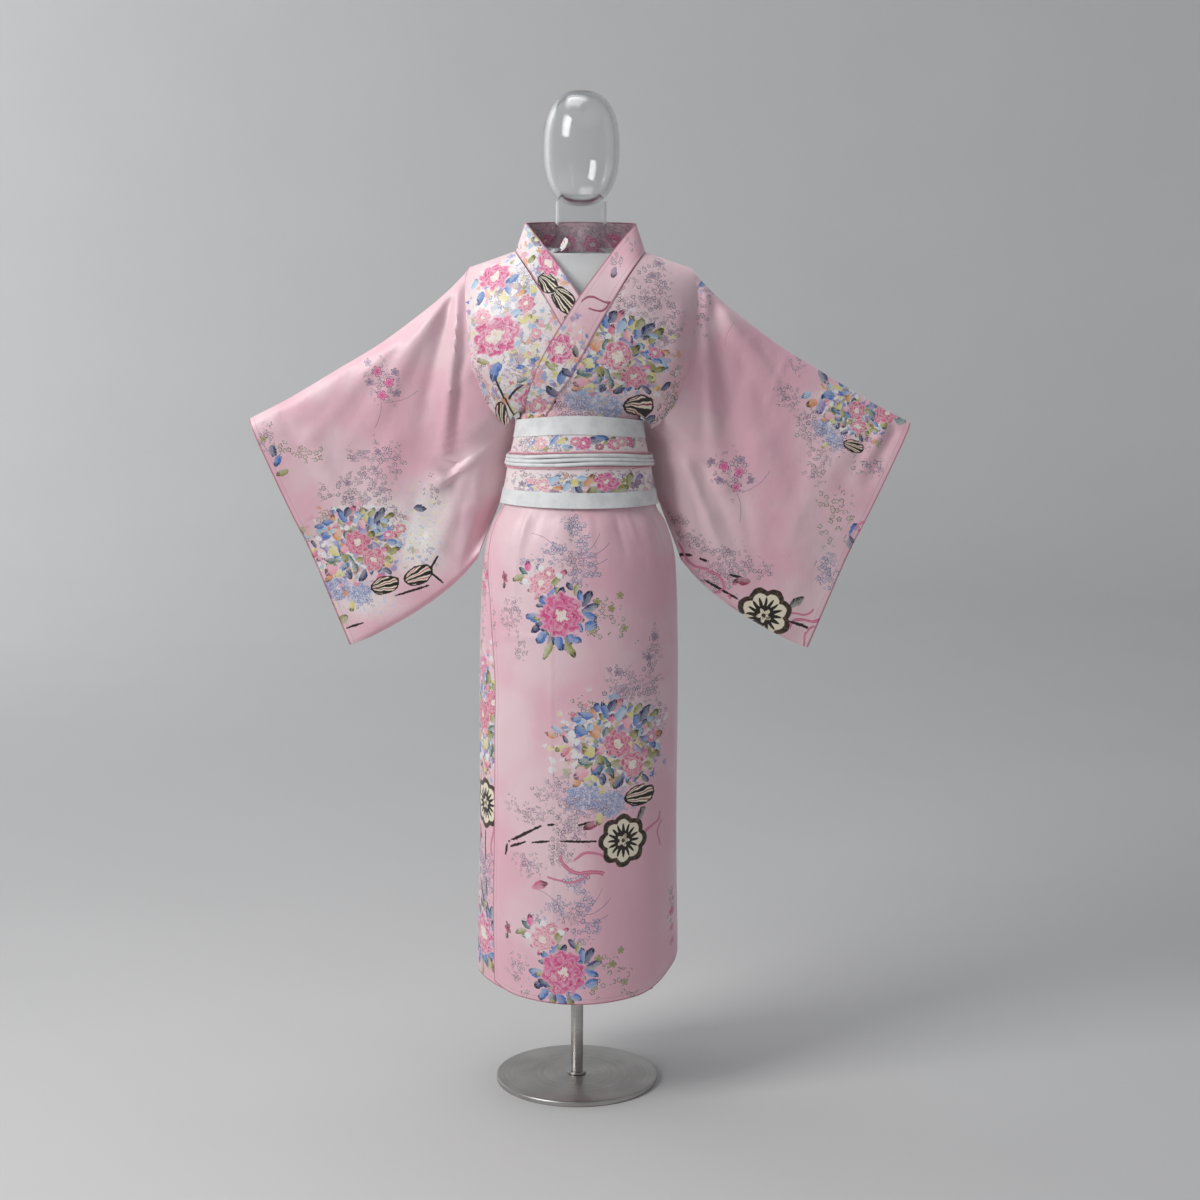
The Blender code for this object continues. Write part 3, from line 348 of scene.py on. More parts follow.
def trunk_base(side, height, angle):
    size = section(height)
    forward = np.cos(angle) > 0
    depth = np.where(forward, size["front"], size["back"])
    width = size["half_width"] / np.sin(end_angle(size, depth))
    hem = soft_step((DIP_HEIGHT - height) / DIP_FADE)
    blouse = soft_step((height - BLOUSE_LOW) / BLOUSE_RISE)
    blouse = blouse * soft_step((CHEST_HEIGHT - height) / BLOUSE_FADE)
    up = height - hem * HEM_DIP * np.cos(angle) ** 2
    if side > 0:
        from_seam = np.abs(np.abs(angle) - math.pi / 2)
        near_seam = soft_step((CORNER_SPREAD - from_seam) / CORNER_SPREAD)
        up = up + CORNER_LIFT * near_seam * soft_step((CORNER_HEIGHT - height) / CORNER_FADE)
    up = up + waist_bow(height) * np.cos(angle) ** 2 * forward
    up = up - blouse * SIDE_DROOP * np.sin(angle) ** 8
    return np.stack([side * width * np.sin(angle), -depth * np.cos(angle), up], axis=-1)


def trunk_point(side, height, angle, lift, lapping):
    """The cloth up to the chest. The angle runs from the centre front to the centre back."""
    height, angle = np.broadcast_arrays(height, angle)
    out = lift + trunk_folds(side * np.degrees(angle), height)
    if lapping:
        out = out + np.where(np.cos(angle) > 0, lap_lift(angle), 0.0)
    normal = outward_normal(lambda h, a: trunk_base(side, h, a), height, angle, side)
    return trunk_base(side, height, angle) + normal * out[..., None]


def side_angle(height, forward):
    size = section(height)
    edge = end_angle(size, size["front"] if forward else size["back"])
    return np.minimum(edge, math.pi / 2 - SIDE_SEAM_ANGLE)


def angle_at(height, x, forward):
    """The angle at which a section reaches a distance from the middle."""
    size = section(height)
    end = end_angle(size, size["front"] if forward else size["back"])
    return np.arcsin(np.clip(x * np.sin(end) / size["half_width"], -0.999, 0.999))


hem_corner = trunk_point(1, np.array(HEM_HEIGHT), np.array(math.pi / 2), 0.0, True)
print("the hem's left corner stands", round(float(hem_corner[2]), 3), "m up")

# %% [markdown]
# ## Over the shoulders
# Above the chest the cloth turns over the shoulder. Here a place is given by its turn, from 0 at the
# chest in front over 90 degrees on the shoulder's ridge to 180 behind, and by its distance from the
# middle. The neck edge follows the collar's sewn line in front and a round opening behind.

# %% Points of the shoulders, and of the whole front
def chest_depth(x, forward):
    size = section(CHEST_HEIGHT)
    depth = size["front"] if forward else size["back"]
    width = size["half_width"] / np.sin(end_angle(size, depth))
    return depth * np.sqrt(np.clip(1 - (x / width) ** 2, 0.0, 1.0))


def shoulder_base(side, turn, x):
    forward = np.cos(turn) >= 0
    rise = np.clip(np.sin(turn), 1e-9, 1) ** np.where(forward, FRONT_ROUNDNESS, BACK_ROUNDNESS)
    depth = np.where(forward, chest_depth(x, True), chest_depth(x, False))
    up = CHEST_HEIGHT + (ridge_height(x) - CHEST_HEIGHT) * rise
    return np.stack([side * x, -depth * np.cos(turn), up], axis=-1)


def shoulder_point(side, turn, x, lift, lapping):
    """Over the shoulder: turn is 0 at the chest, 90 degrees on the ridge and 180 behind."""
    turn, x = np.broadcast_arrays(turn, x)
    lean = np.degrees(np.arcsin(np.clip(x / CHEST_ROUND_HALF, -1, 1)))
    degrees = side * np.where(np.cos(turn) >= 0, lean, 180 - lean)
    up = shoulder_base(side, turn, x)[..., 2]
    out = lift + ridges(BODICE_FOLDS, FOLD_SCALE, degrees * FOLD_SCALE, up)
    if lapping:
        out = out + OVER_LIFT * (1 - soft_step((turn - OVER_FADE_START) / OVER_FADE))
    normal = outward_normal(lambda t, a: shoulder_base(side, t, a), turn, x, side)
    return shoulder_base(side, turn, x) + normal * out[..., None]


def shoulder_edge_x(turn):
    reach = CHEST_HALF + (SHOULDER_HALF - CHEST_HALF) * np.sin(turn)
    return reach + ARMHOLE_BULGE * np.abs(np.sin(2 * turn))


def neck_x(turn):
    """Where the neck edge is: on the collar's sewn line in front, on a round opening behind."""
    x = np.full(np.shape(turn), 0.05)
    rise = np.sin(np.minimum(turn, math.pi / 2)) ** FRONT_ROUNDNESS
    for _ in range(NECK_EDGE_ROUNDS):
        x = sewn_x(CHEST_HEIGHT + (ridge_height(x) - CHEST_HEIGHT) * rise)
    share = np.abs(np.cos(turn)) * float(chest_depth(0.0, False)) / NECK_BACK
    behind = NECK_HALF * np.sqrt(np.clip(1 - share**2, 0, 1))
    return np.where(turn <= math.pi / 2, x, behind)


def front_point(side, x, height, lift, lapping):
    """A point on the front at a distance from the middle and a height."""
    x, height = np.broadcast_arrays(np.asarray(x, float), np.asarray(height, float))
    low = np.minimum(height, CHEST_HEIGHT)
    on_trunk = trunk_point(side, low, angle_at(low, x, True), lift, lapping)
    share = (height - CHEST_HEIGHT) / (ridge_height(x) - CHEST_HEIGHT)
    turn = np.arcsin(np.clip(share, 1e-9, 0.9999) ** (1 / FRONT_ROUNDNESS))
    on_shoulder = shoulder_point(side, turn, x, lift, lapping)
    return np.where((height <= CHEST_HEIGHT)[..., None], on_trunk, on_shoulder)


NECK_TURN = math.pi - math.acos(NECK_BACK / float(chest_depth(0.0, False)))
print("neck opening starts", round(math.degrees(NECK_TURN)), "degrees over the shoulder")

# %% [markdown]
# ## Grids of cloth points
# Each panel becomes a grid of points about 6 mm apart, fine enough for the folds and for the print.
# A body panel is one length of cloth, so its grid runs from the front hem up to the chest, over the
# shoulder and down to the back hem.

# %% Body panels and overlap panels as grids
CELL = 0.0062
FRONT_TURNS = np.radians(np.linspace(2, 90, 40))[:, None]
NECK_TURNS = np.linspace(92, math.degrees(NECK_TURN), 18)
BACK_TURNS = np.radians(np.concatenate([NECK_TURNS, np.linspace(130, 178, 22)]))[:, None]


def spread(low, high, cell=CELL):
    """Values from low to high, about one cell apart."""
    return np.linspace(low, high, max(2, round(abs(high - low) / cell) + 1))


def body_panel(side, lapping, columns=56):
    """The points of the body panel from hem to hem, and how many of its rows are in front."""
    across = np.linspace(0, 1, columns)[None, :]
    h = spread(HEM_HEIGHT, CHEST_HEIGHT)[:, None]
    first = angle_at(h, np.maximum(OKUMI_SEAM_X, sewn_x(h) + SEAM), True)
    last = side_angle(h, True)
    front = trunk_point(side, h, first + (last - first) * across, 0.0, lapping)
    inner = neck_x(FRONT_TURNS)
    x = inner + (shoulder_edge_x(FRONT_TURNS) - inner) * across
    over = shoulder_point(side, FRONT_TURNS, x, 0.0, lapping)
    inner = np.maximum(neck_x(BACK_TURNS), SEAM / 2)
    x = inner + (shoulder_edge_x(BACK_TURNS) - inner) * across
    behind = shoulder_point(side, BACK_TURNS, x, 0.0, lapping)
    h = h[::-1]
    first = math.pi - angle_at(h, np.full(h.shape, SEAM / 2), False)
    last = math.pi - side_angle(h, False)
    back = trunk_point(side, h, first + (last - first) * across, 0.0, lapping)
    return np.concatenate([front, over, behind, back]), len(front) + len(over)


def overlap_panel(side, lapping, columns=28):
    """The front overlap panel, from the hem up to where the collar covers it."""
    across = np.linspace(0, 1, columns)[None, :]
    h = spread(HEM_HEIGHT, OKUMI_TOP)[:, None]
    free = np.radians(through(LAP["height"], LAP["degrees"], h)) if lapping else UNDER_EDGE_ANGLE
    sewn = angle_at(h, sewn_x(h) + SEAM, True)
    first = np.where(h >= LAP_TOP, sewn, free)
    last = angle_at(h, np.full(h.shape, OKUMI_SEAM_X - SEAM), True)
    return trunk_point(side, h, first + (last - first) * across, 0.0, lapping)


for side, word in ((1, "left"), (-1, "right")):
    points, _ = body_panel(side, side > 0)
    overlap = overlap_panel(side, side > 0)
    print("body", word, "grid:", points.shape[:2], "overlap grid:", overlap.shape[:2])

# %% [markdown]
# ## Collar
# The collar is one long folded band. It is sewn to both front edges and to the neck, lies flat on the
# chest and stands up round the back of the neck. Its free edge is drawn by a table, and a soft step
# turns the lying part into the standing one.

# %% The collar as a grid
FREE = columns_of(
    ("sewn_height", "x", "height"),
    (
        (1.180, -0.100, 1.195), (1.230, -0.097, 1.249), (1.290, -0.080, 1.318),
        (1.322, -0.066, 1.351), (1.425, -0.004, 1.453), (1.470, 0.030, 1.500),
        (1.503, 0.064, 1.544), (1.531, 0.096, 1.582),
    ),
)
COLLAR_END = 1.180
UNDER_COLLAR_X = -0.072
V_HEIGHT = 1.453
COLLAR_NECK_Y = -0.004
COLLAR_BACK_Y = 0.067
COLLAR_BACK_HEIGHT = 1.583
COLLAR_FOOT = 0.0019
COLLAR_STANDS, COLLAR_RISE = 1.440, 0.060
COLLAR_ROUNDNESS = 0.9
CLOTH_LIFT = 0.00075


def collar_half(side, lapping, columns=13):
    """One half of the band, from its low end in front to the centre back."""
    share = np.linspace(0, 1, columns)[None, :]
    turns = np.radians(np.linspace(3, 90, 60))
    over = ridge_height(neck_x(turns)) - CHEST_HEIGHT
    over = CHEST_HEIGHT + over * np.sin(turns) ** FRONT_ROUNDNESS
    h = np.concatenate([spread(COLLAR_END, CHEST_HEIGHT, 0.005), over])[:, None]
    stands = soft_step((h - COLLAR_STANDS) / COLLAR_RISE)
    start_x = sewn_x(h) - SEAM - stands * COLLAR_FOOT
    edge_x = through(FREE["sewn_height"], FREE["x"], h)
    if not lapping:
        edge_x = np.maximum(edge_x, UNDER_COLLAR_X)
    edge_height = through(FREE["sewn_height"], FREE["height"], h)
    v_x = through(FREE["height"], FREE["x"], V_HEIGHT)
    v_depth = -float(front_point(1, v_x, V_HEIGHT, 0.0, False)[..., 1])
    rise = np.clip((edge_height - V_HEIGHT) / (FREE["height"][-1] - V_HEIGHT), 0, 1)
    free_y = COLLAR_NECK_Y - (v_depth + COLLAR_NECK_Y) * (1 - rise) ** COLLAR_ROUNDNESS
    foot = front_point(side, start_x, h, CLOTH_LIFT, lapping)
    tip = np.stack([side * edge_x, free_y, edge_height], axis=-1)
    x = start_x + (edge_x - start_x) * share
    z = h + (edge_height - h) * share
    lying = front_point(side, x, z, CLOTH_LIFT, lapping)
    upright = foot + (tip - foot) * share[..., None]
    front = lying * (1 - stands[..., None]) + upright * stands[..., None]
    turn = np.linspace(math.pi / 2, NECK_TURN, 50)[1:, None]
    x = np.maximum(neck_x(turn) - SEAM, 0.0)
    x[-1] = 0.0
    low = shoulder_point(side, turn, x, CLOTH_LIFT, False)
    swing = (turn - math.pi / 2) / (NECK_TURN - math.pi / 2)
    edge_x, edge_height = FREE["x"][-1], FREE["height"][-1]
    high_x = side * edge_x * np.cos(swing * math.pi / 2)
    high_y = COLLAR_NECK_Y + (COLLAR_BACK_Y - COLLAR_NECK_Y) * np.sin(swing * math.pi / 2)
    high = np.stack([high_x, high_y, edge_height + (COLLAR_BACK_HEIGHT - edge_height) * swing], axis=-1)
    level = low * (1.0, 1.0, 0.0)
    low = low - level / np.linalg.norm(level, axis=-1, keepdims=True) * COLLAR_FOOT
    return np.concatenate([front, low + (high - low) * share[..., None]])


collar_points = np.concatenate([collar_half(1, True), collar_half(-1, False)[-2::-1]])
print("collar grid:", collar_points.shape[:2])

# %% [markdown]
# ## Sleeves
# A kimono sleeve is a flat bag: folded at the top, sewn along the bottom and below the hand, open at
# the cuff and along the armhole. We draw its four edges as seen from the front, fill the area between
# them, and give each place half the gap between front and back cloth. Long soft drags run from the
# shoulder to the lower corner, because the cloth hangs from the top of the arm.

# %% The sleeves as two grids each
SLEEVE_TOP = (
    (0.1960, 1.4985), (0.238, 1.457), (0.286, 1.418), (0.357, 1.366),
    (0.430, 1.322), (0.526, 1.265), (0.590, 1.232),
)
SLEEVE_CUFF = (
    (0.590, 1.232), (0.566, 1.176), (0.523, 1.078), (0.482, 0.990), (0.440, 0.886), (0.415, 0.824),
)
SLEEVE_BOTTOM = (
    (0.184, 0.984), (0.213, 0.950), (0.248, 0.919), (0.291, 0.888),
    (0.340, 0.859), (0.380, 0.838), (0.415, 0.824),
)
SLEEVE_INNER = (
    (0.1180, 1.238), (0.1155, 1.212), (0.1195, 1.186), (0.1235, 1.160), (0.1310, 1.120),
    (0.1450, 1.080), (0.1640, 1.035), (0.1780, 1.000), (0.1840, 0.984),
)
# Half the gap between a sleeve's front and back cloth, from the armhole to the cuff.
SLEEVE_GAP = columns_of(
    ("along", "upper", "lower"),
    (
        (0.00, 0.052, 0.013), (0.12, 0.042, 0.014), (0.30, 0.030, 0.014),
        (0.60, 0.022, 0.012), (0.85, 0.020, 0.008), (1.00, 0.021, 0.005),
    ),
)
SLEEVE_FOLDS = (
    (0.206, 1.470, 0.250, 1.120, 0.016, 0.0100),
    (0.235, 1.440, 0.285, 1.180, 0.013, -0.0050),
    (0.262, 1.120, 0.185, 1.190, 0.014, 0.0050),
    (0.262, 1.425, 0.360, 1.240, 0.016, 0.0060),
    (0.330, 1.200, 0.390, 1.010, 0.022, 0.0045),
    (0.480, 1.200, 0.400, 1.060, 0.020, 0.0040),
    (0.230, 1.060, 0.300, 0.930, 0.020, 0.0045),
    (0.300, 1.380, 0.450, 1.130, 0.010, 0.0020),
    (0.215, 1.330, 0.225, 1.100, 0.007, -0.0030),
    (0.190, 1.180, 0.250, 1.000, 0.010, 0.0028),
    (0.530, 1.240, 0.470, 1.120, 0.009, -0.0018),
    (0.290, 1.100, 0.330, 0.930, 0.009, -0.0018),
    (0.200, 1.080, 0.215, 0.990, 0.007, 0.0022),
)
OWN_SLEEVE_FOLDS = {
    -1: (
        (0.204, 1.490, 0.252, 1.110, 0.0065, 0.0085),
        (0.190, 1.450, 0.236, 1.120, 0.0080, -0.0060),
        (0.243, 1.125, 0.139, 1.201, 0.0065, 0.0075),
        (0.235, 1.145, 0.139, 1.216, 0.0080, -0.0050),
        (0.239, 1.468, 0.377, 1.212, 0.0170, 0.0065),
        (0.217, 1.475, 0.287, 1.226, 0.0120, -0.0065),
        (0.330, 1.370, 0.480, 1.200, 0.0130, 0.0035),
        (0.270, 1.020, 0.200, 0.960, 0.0100, 0.0040),
        (0.440, 1.150, 0.330, 1.010, 0.0140, -0.0030),
    ),
    1: (
        (0.196, 1.480, 0.250, 1.270, 0.0080, 0.0070),
        (0.215, 1.410, 0.268, 1.200, 0.0150, -0.0085),
        (0.371, 1.365, 0.321, 1.235, 0.0035, 0.0022),
        (0.190, 1.156, 0.258, 0.998, 0.0090, 0.0050),
        (0.215, 1.170, 0.285, 1.000, 0.0100, -0.0035),
        (0.300, 1.300, 0.330, 1.060, 0.0160, 0.0035),
        (0.560, 1.214, 0.520, 1.130, 0.0130, -0.0110),
        (0.545, 1.232, 0.500, 1.140, 0.0100, 0.0050),
        (0.430, 1.180, 0.370, 1.000, 0.0150, 0.0030),
    ),
}
ARMHOLE_GAP = {1: 0.0004, -1: 0.0006}
ARMHOLE_LOW = 1.274
# How far a sleeve has its own gap and not that of the armhole.
OWN_GAP = columns_of(("along", "share"), ((0, 0), (1 / 12, 0.45), (2 / 12, 0.8), (3 / 12, 1)))
GAP_CHANGE, TOP_ROUNDING, UNDER_ARM_FADE = 0.75, 0.10, 0.07
BOTTOM_START, BOTTOM_ROUNDING = 0.965, 0.035
CUFF_OPENING = 0.205
CUFF_SHUT, CUFF_REACH, SEWN_BELOW = 0.04, 0.20, 0.03
FADE_ARMHOLE, FADE_CUFF, FADE_TOP, FADE_BOTTOM = 0.07, 0.10, 0.06, 0.08
SET_BACK = 0.046
SET_BACK_ALONG, SET_BACK_UPPER, SET_BACK_LOWER = 0.22, 0.12, 0.2
SEWN_REACH = 0.12
SEWN_FADE_ROWS = 12


def line_points(table, shares):
    """Points at shares of the length of a smooth line through a table's places."""
    table = np.array(table, float)
    length = np.concatenate([[0], np.cumsum(np.linalg.norm(np.diff(table, axis=0), axis=1))])
    return np.stack([through(length, table[:, i], shares * length[-1]) for i in range(2)], axis=-1)


def armhole_edges(side, lapping):
    """The body's front and back edges that the sleeve is sewn to, from the shoulder down."""
    turns = np.radians(np.linspace(90, 3.5, 40))
    h = spread(CHEST_HEIGHT, ARMHOLE_LOW)
    behind = math.pi - turns
    front_top = shoulder_point(side, turns, shoulder_edge_x(turns), 0.0, lapping)
    front_low = trunk_point(side, h, side_angle(h, True), 0.0, lapping)
    back_top = shoulder_point(side, behind + 1e-9, shoulder_edge_x(behind), 0.0, lapping)
    back_low = trunk_point(side, h, math.pi - side_angle(h, False), 0.0, lapping)
    return np.concatenate([front_top, front_low]), np.concatenate([back_top, back_low])


def sleeve_plan(edge, free_rows, u):
    """The sleeve as seen from the front, filled in between its four edges, and its shares down."""
    inner = np.concatenate([edge, line_points(SLEEVE_INNER, np.linspace(0, 1, free_rows))])
    steps = np.linalg.norm(np.diff(inner, axis=0), axis=1)
    v = np.concatenate([[0], np.cumsum(steps)]) / steps.sum()
    top, bottom = line_points(SLEEVE_TOP, u), line_points(SLEEVE_BOTTOM, u)
    cuff = line_points(SLEEVE_CUFF, v)
    top[0], bottom[0] = inner[0], inner[-1]
    uu, vv = u[:, None, None], v[None, :, None]
    corners = (1 - uu) * (1 - vv) * inner[0] + uu * (1 - vv) * cuff[0]
    corners = corners + (1 - uu) * vv * inner[-1] + uu * vv * cuff[-1]
    plan = (1 - uu) * inner[None] + uu * cuff[None] + (1 - vv) * top[:, None]
    return plan + vv * bottom[:, None] - corners, v


def sleeve_relief(side, x, z, u, v):
    """Drags and folds of a sleeve. They fade out towards all its seams."""
    folds = ridges(SLEEVE_FOLDS + OWN_SLEEVE_FOLDS[side], 1.0, x, z)
    folds = folds * soft_step(u / FADE_ARMHOLE) * soft_step((1 - u) / FADE_CUFF)
    return folds * soft_step(v / FADE_TOP) * soft_step((1 - v) / FADE_BOTTOM)


def sleeve_grids(side, lapping, columns=72, free_rows=50):
    """The front and back sheets, from the armhole to the cuff, and the part of the cuff sewn shut."""
    front_edge, back_edge = armhole_edges(side, lapping)
    edge = np.stack([side * front_edge[:, 0] + ARMHOLE_GAP[side], front_edge[:, 2]], axis=-1)
    u = np.linspace(0, 1, columns)
    plan, v = sleeve_plan(edge, free_rows, u)
    x, z = plan[..., 0], plan[..., 1]
    below_arm = v[None, :] - v[len(front_edge) - 1]
    u, v = u[:, None], v[None, :]
    down_cuff = v * np.linalg.norm(np.diff(np.array(SLEEVE_CUFF), axis=0), axis=1).sum()
    upper = through(SLEEVE_GAP["along"], SLEEVE_GAP["upper"], u)
    lower = through(SLEEVE_GAP["along"], SLEEVE_GAP["lower"], u)
    wide = upper + (lower - upper) * soft_step(v / GAP_CHANGE)
    wide = wide * np.sqrt(1 - (1 - np.minimum(v / TOP_ROUNDING, 1)) ** 2)
    own = through(OWN_GAP["along"], OWN_GAP["share"], u)
    from_armhole = (1 - own) * (1 - soft_step(below_arm / UNDER_ARM_FADE))
    shut = soft_step((down_cuff - CUFF_OPENING) / CUFF_SHUT)
    shut = shut * soft_step((u - (1 - CUFF_REACH)) / CUFF_REACH)
    near_bottom = np.maximum(v - BOTTOM_START, 0) / BOTTOM_ROUNDING
    closing = np.sqrt(np.clip(1 - near_bottom**2, 0, 1)) * (1 - shut)
    folds = sleeve_relief(side, x, z, u, v)
    back_off = soft_step(below_arm / SET_BACK_UPPER) * soft_step((1 - v) / SET_BACK_LOWER)
    back_off = SET_BACK * back_off * (1 - soft_step(u / SET_BACK_ALONG))
    sheets = []
    for body_edge, sign in ((front_edge, -1.0), (back_edge, 1.0)):
        near = np.concatenate([np.abs(body_edge[:, 1]), np.full(free_rows, abs(body_edge[-1, 1]))])
        half = (wide + (near[None, :] - wide) * from_armhole) * closing
        y = sign * (half + folds * (half > 1e-6)) + back_off
        sewn = np.stack([side * body_edge[:, 0] + ARMHOLE_GAP[side], body_edge[:, 2]], axis=-1) - edge
        fade = (1 - soft_step(np.linspace(0, 1, SEWN_FADE_ROWS)[1:, None])) * sewn[-1]
        shift = np.concatenate([sewn, fade, np.zeros((free_rows - len(fade), 2))])
        shift = shift[None] * (1 - soft_step(u / SEWN_REACH))[..., None]
        sheets.append(np.stack([side * (x + shift[..., 0]), y, z + shift[..., 1]], axis=-1))
    return sheets[0], sheets[1], down_cuff[0] > CUFF_OPENING + SEWN_BELOW


print("sleeve grid:", sleeve_grids(1, True)[0].shape[:2])

# %% [markdown]
# ## Colours
# The print uses a small set of inks, as a real screen print does. They are written as a screen shows
# them and turned into scene-linear values once, so that the same number always gives the same colour.

# %% Inks
def linear(colour):
    """Scene-linear values of a colour as a screen shows it."""
    return tuple(c / 12.92 if c <= 0.04045 else ((c + 0.055) / 1.055) ** 2.4 for c in colour)


INKS = {
    "magenta": (0.89, 0.33, 0.60),
    "rose": (0.88, 0.45, 0.58),
    "blush": (0.95, 0.66, 0.73),
    "blue": (0.25, 0.46, 0.76),
    "navy": (0.12, 0.18, 0.42),
    "sky": (0.60, 0.74, 0.87),
    "olive": (0.60, 0.58, 0.27),
    "teal": (0.20, 0.40, 0.42),
    "yellow": (0.88, 0.84, 0.52),
    "orange": (0.88, 0.58, 0.36),
    "purple": (0.58, 0.50, 0.74),
    "black": (0.15, 0.11, 0.10),
    "mauve": (0.60, 0.45, 0.58),
    "cord": (0.83, 0.42, 0.57),
    "crimson": (0.62, 0.17, 0.33),
    "white": (0.93, 0.92, 0.93),
}
SATIN_PINK = linear((0.925, 0.730, 0.787))
REVERSE_PINK = linear((0.93, 0.79, 0.80))
PAPER_WHITE = linear((0.96, 0.95, 0.94))
CREAM = linear((0.95, 0.91, 0.82))
print("inks:", len(INKS))

# %% [markdown]
# ## Bouquets
# The fabric repeats a few arrangements: a big peony with blue leaves, a mixed bouquet, a flower
# wheel with its shafts and cord, and a small spray of buds. Each is a list of motifs round its own
# centre, in millimetres: where, half length and half width, turn in degrees, what it is, its ink.
# Placing whole arrangements keeps the flowers together, as on real cloth.

# %% Arrangements of motifs
PEONY = (
    (0, 0, 43, 43, 0, "bloom", "magenta"), (-38, 55, 24, 24, 40, "bloom", "blush"),
    (-22, 74, 12, 12, 0, "bloom", "rose"), (44, 30, 17, 9, 60, "leaf", "navy"),
    (33, 33, 14, 7, 95, "leaf", "blue"), (52, 14, 16, 8, 20, "leaf", "navy"),
    (50, 0, 14, 8, -25, "leaf", "blue"), (-50, -6, 16, 10, 170, "leaf", "blue"),
    (-44, -24, 15, 8, 215, "leaf", "navy"), (-36, -40, 17, 9, 235, "leaf", "blue"),
    (-19, -45, 17, 9, 262, "leaf", "navy"), (-4, -47, 16, 9, 285, "leaf", "blue"),
    (12, -43, 13, 7, 310, "leaf", "navy"), (-24, -62, 19, 8, 245, "leaf", "olive"),
    (14, -59, 19, 8, 305, "leaf", "olive"), (-79, 62, 15, 7, 200, "leaf", "olive"),
    (-70, 74, 12, 6, 140, "leaf", "teal"), (-10, 60, 14, 8, 50, "leaf", "olive"),
    (26, 46, 11, 6, 80, "leaf", "olive"), (62, 24, 10, 9, 0, "bud", "olive"),
    (54, -24, 10, 9, 10, "bud", "olive"), (88, 12, 8, 8, 0, "bud", "olive"),
    (104, 34, 8, 8, 0, "bud", "olive"), (112, -24, 8, 8, 0, "bud", "olive"),
    (-109, 60, 13, 8, 100, "bud", "crimson"), (-111, 46, 6, 4, 270, "leaf", "black"),
    (56, 110, 34, 12, 24, "grass", "mauve"), (48, 92, 34, 12, 5, "grass", "mauve"),
    (50, 122, 30, 10, 45, "grass", "mauve"), (-30, 128, 30, 10, 150, "grass", "mauve"),
)
PEONY_FIELDS = (
    (22, 156, 17, 20, "lilac", 1.0), (-14, 112, 20, 15, "lilac", 0.9), (40, 118, 15, 22, "lilac", 0.9),
    (52, 82, 14, 18, "lilac", 0.9), (30, 64, 16, 14, "lilac", 0.8), (-52, 88, 24, 10, "lilac", 0.6),
    (18, 96, 20, 24, "mauve", 0.7), (76, 14, 22, 20, "olive", 0.75), (100, -14, 22, 16, "olive", 0.7),
    (60, -26, 16, 18, "olive", 0.7), (122, -44, 20, 12, "olive", 0.5), (-92, -6, 20, 26, "mauve", 0.65),
    (-74, -56, 12, 30, "mauve", 0.5), (-40, 60, 30, 26, "wash", 0.5),
)
BOUQUET = (
    (0, 0, 29, 29, 0, "bloom", "rose"), (28, -40, 26, 26, 70, "bloom", "rose"),
    (66, 8, 13, 12, 0, "bloom", "magenta"), (-12, 26, 14, 8, 120, "leaf", "olive"),
    (52, 50, 20, 10, 50, "leaf", "navy"), (34, 42, 14, 8, 80, "leaf", "blue"),
    (26, 56, 17, 10, 110, "leaf", "yellow"), (8, 52, 13, 7, 140, "leaf", "teal"),
    (72, 46, 15, 8, 30, "leaf", "olive"), (38, 18, 13, 8, 10, "leaf", "sky"),
    (-60, -37, 16, 9, 200, "leaf", "olive"), (62, -22, 16, 8, 290, "leaf", "olive"),
    (50, 2, 13, 6, 330, "leaf", "navy"), (-44, 26, 15, 12, 150, "leaf", "orange"),
    (-72, -66, 12, 9, 240, "leaf", "orange"), (-12, -56, 11, 8, 260, "leaf", "orange"),
    (-76, 20, 14, 9, 170, "leaf", "purple"), (-46, -14, 19, 12, 235, "leaf", "blue"),
    (-36, -46, 16, 9, 215, "leaf", "blue"), (2, -70, 16, 9, 230, "leaf", "navy"),
    (-28, 8, 10, 6, 190, "leaf", "sky"), (-100, -8, 13, 7, 200, "leaf", "yellow"),
    (-120, 16, 11, 6, 160, "leaf", "orange"), (-108, 26, 11, 5, 150, "leaf", "sky"),
    (-84, -22, 13, 8, 220, "leaf", "blush"), (-54, -60, 13, 7, 200, "leaf", "yellow"),
    (-20, -32, 12, 6, 300, "leaf", "teal"), (14, -22, 12, 6, 240, "leaf", "olive"),
    (84, -14, 12, 6, 300, "leaf", "sky"), (-33, -134, 12, 8, 250, "leaf", "yellow"),
    (52, -66, 13, 6, 320, "leaf", "navy"), (44, -96, 34, 20, 8, "shell", "crimson"),
    (72, 184, 8, 8, 0, "bud", "mauve"), (-2, 127, 8, 8, 0, "bud", "mauve"),
    (60, 150, 8, 8, 0, "bud", "mauve"),
)
BOUQUET_FIELDS = (
    (-60, -93, 34, 26, "hydrangea", 1.0), (-14, -108, 30, 24, "hydrangea", 1.0),
    (-10, 0, 70, 52, "wash", 0.55), (30, 60, 52, 22, "wash", 0.4),
    (72, 180, 10, 26, "mauve", 0.75), (64, 146, 20, 22, "mauve", 0.7), (0, 126, 24, 14, "mauve", 0.7),
    (10, 92, 34, 18, "mauve", 0.8), (60, 100, 30, 24, "mauve", 0.7), (-56, 64, 30, 18, "olive", 0.8),
    (84, 30, 16, 40, "mauve", 0.7), (-104, 10, 20, 14, "olive", 0.5),
    (-100, -70, 20, 18, "mauve", 0.7), (-130, -90, 22, 16, "mauve", 0.6), (-84, -106, 24, 20, "mauve", 0.7),
    (-10, -4, 90, 72, "dabs", 1.2), (-10, -4, 80, 64, "wash", 0.9),
)
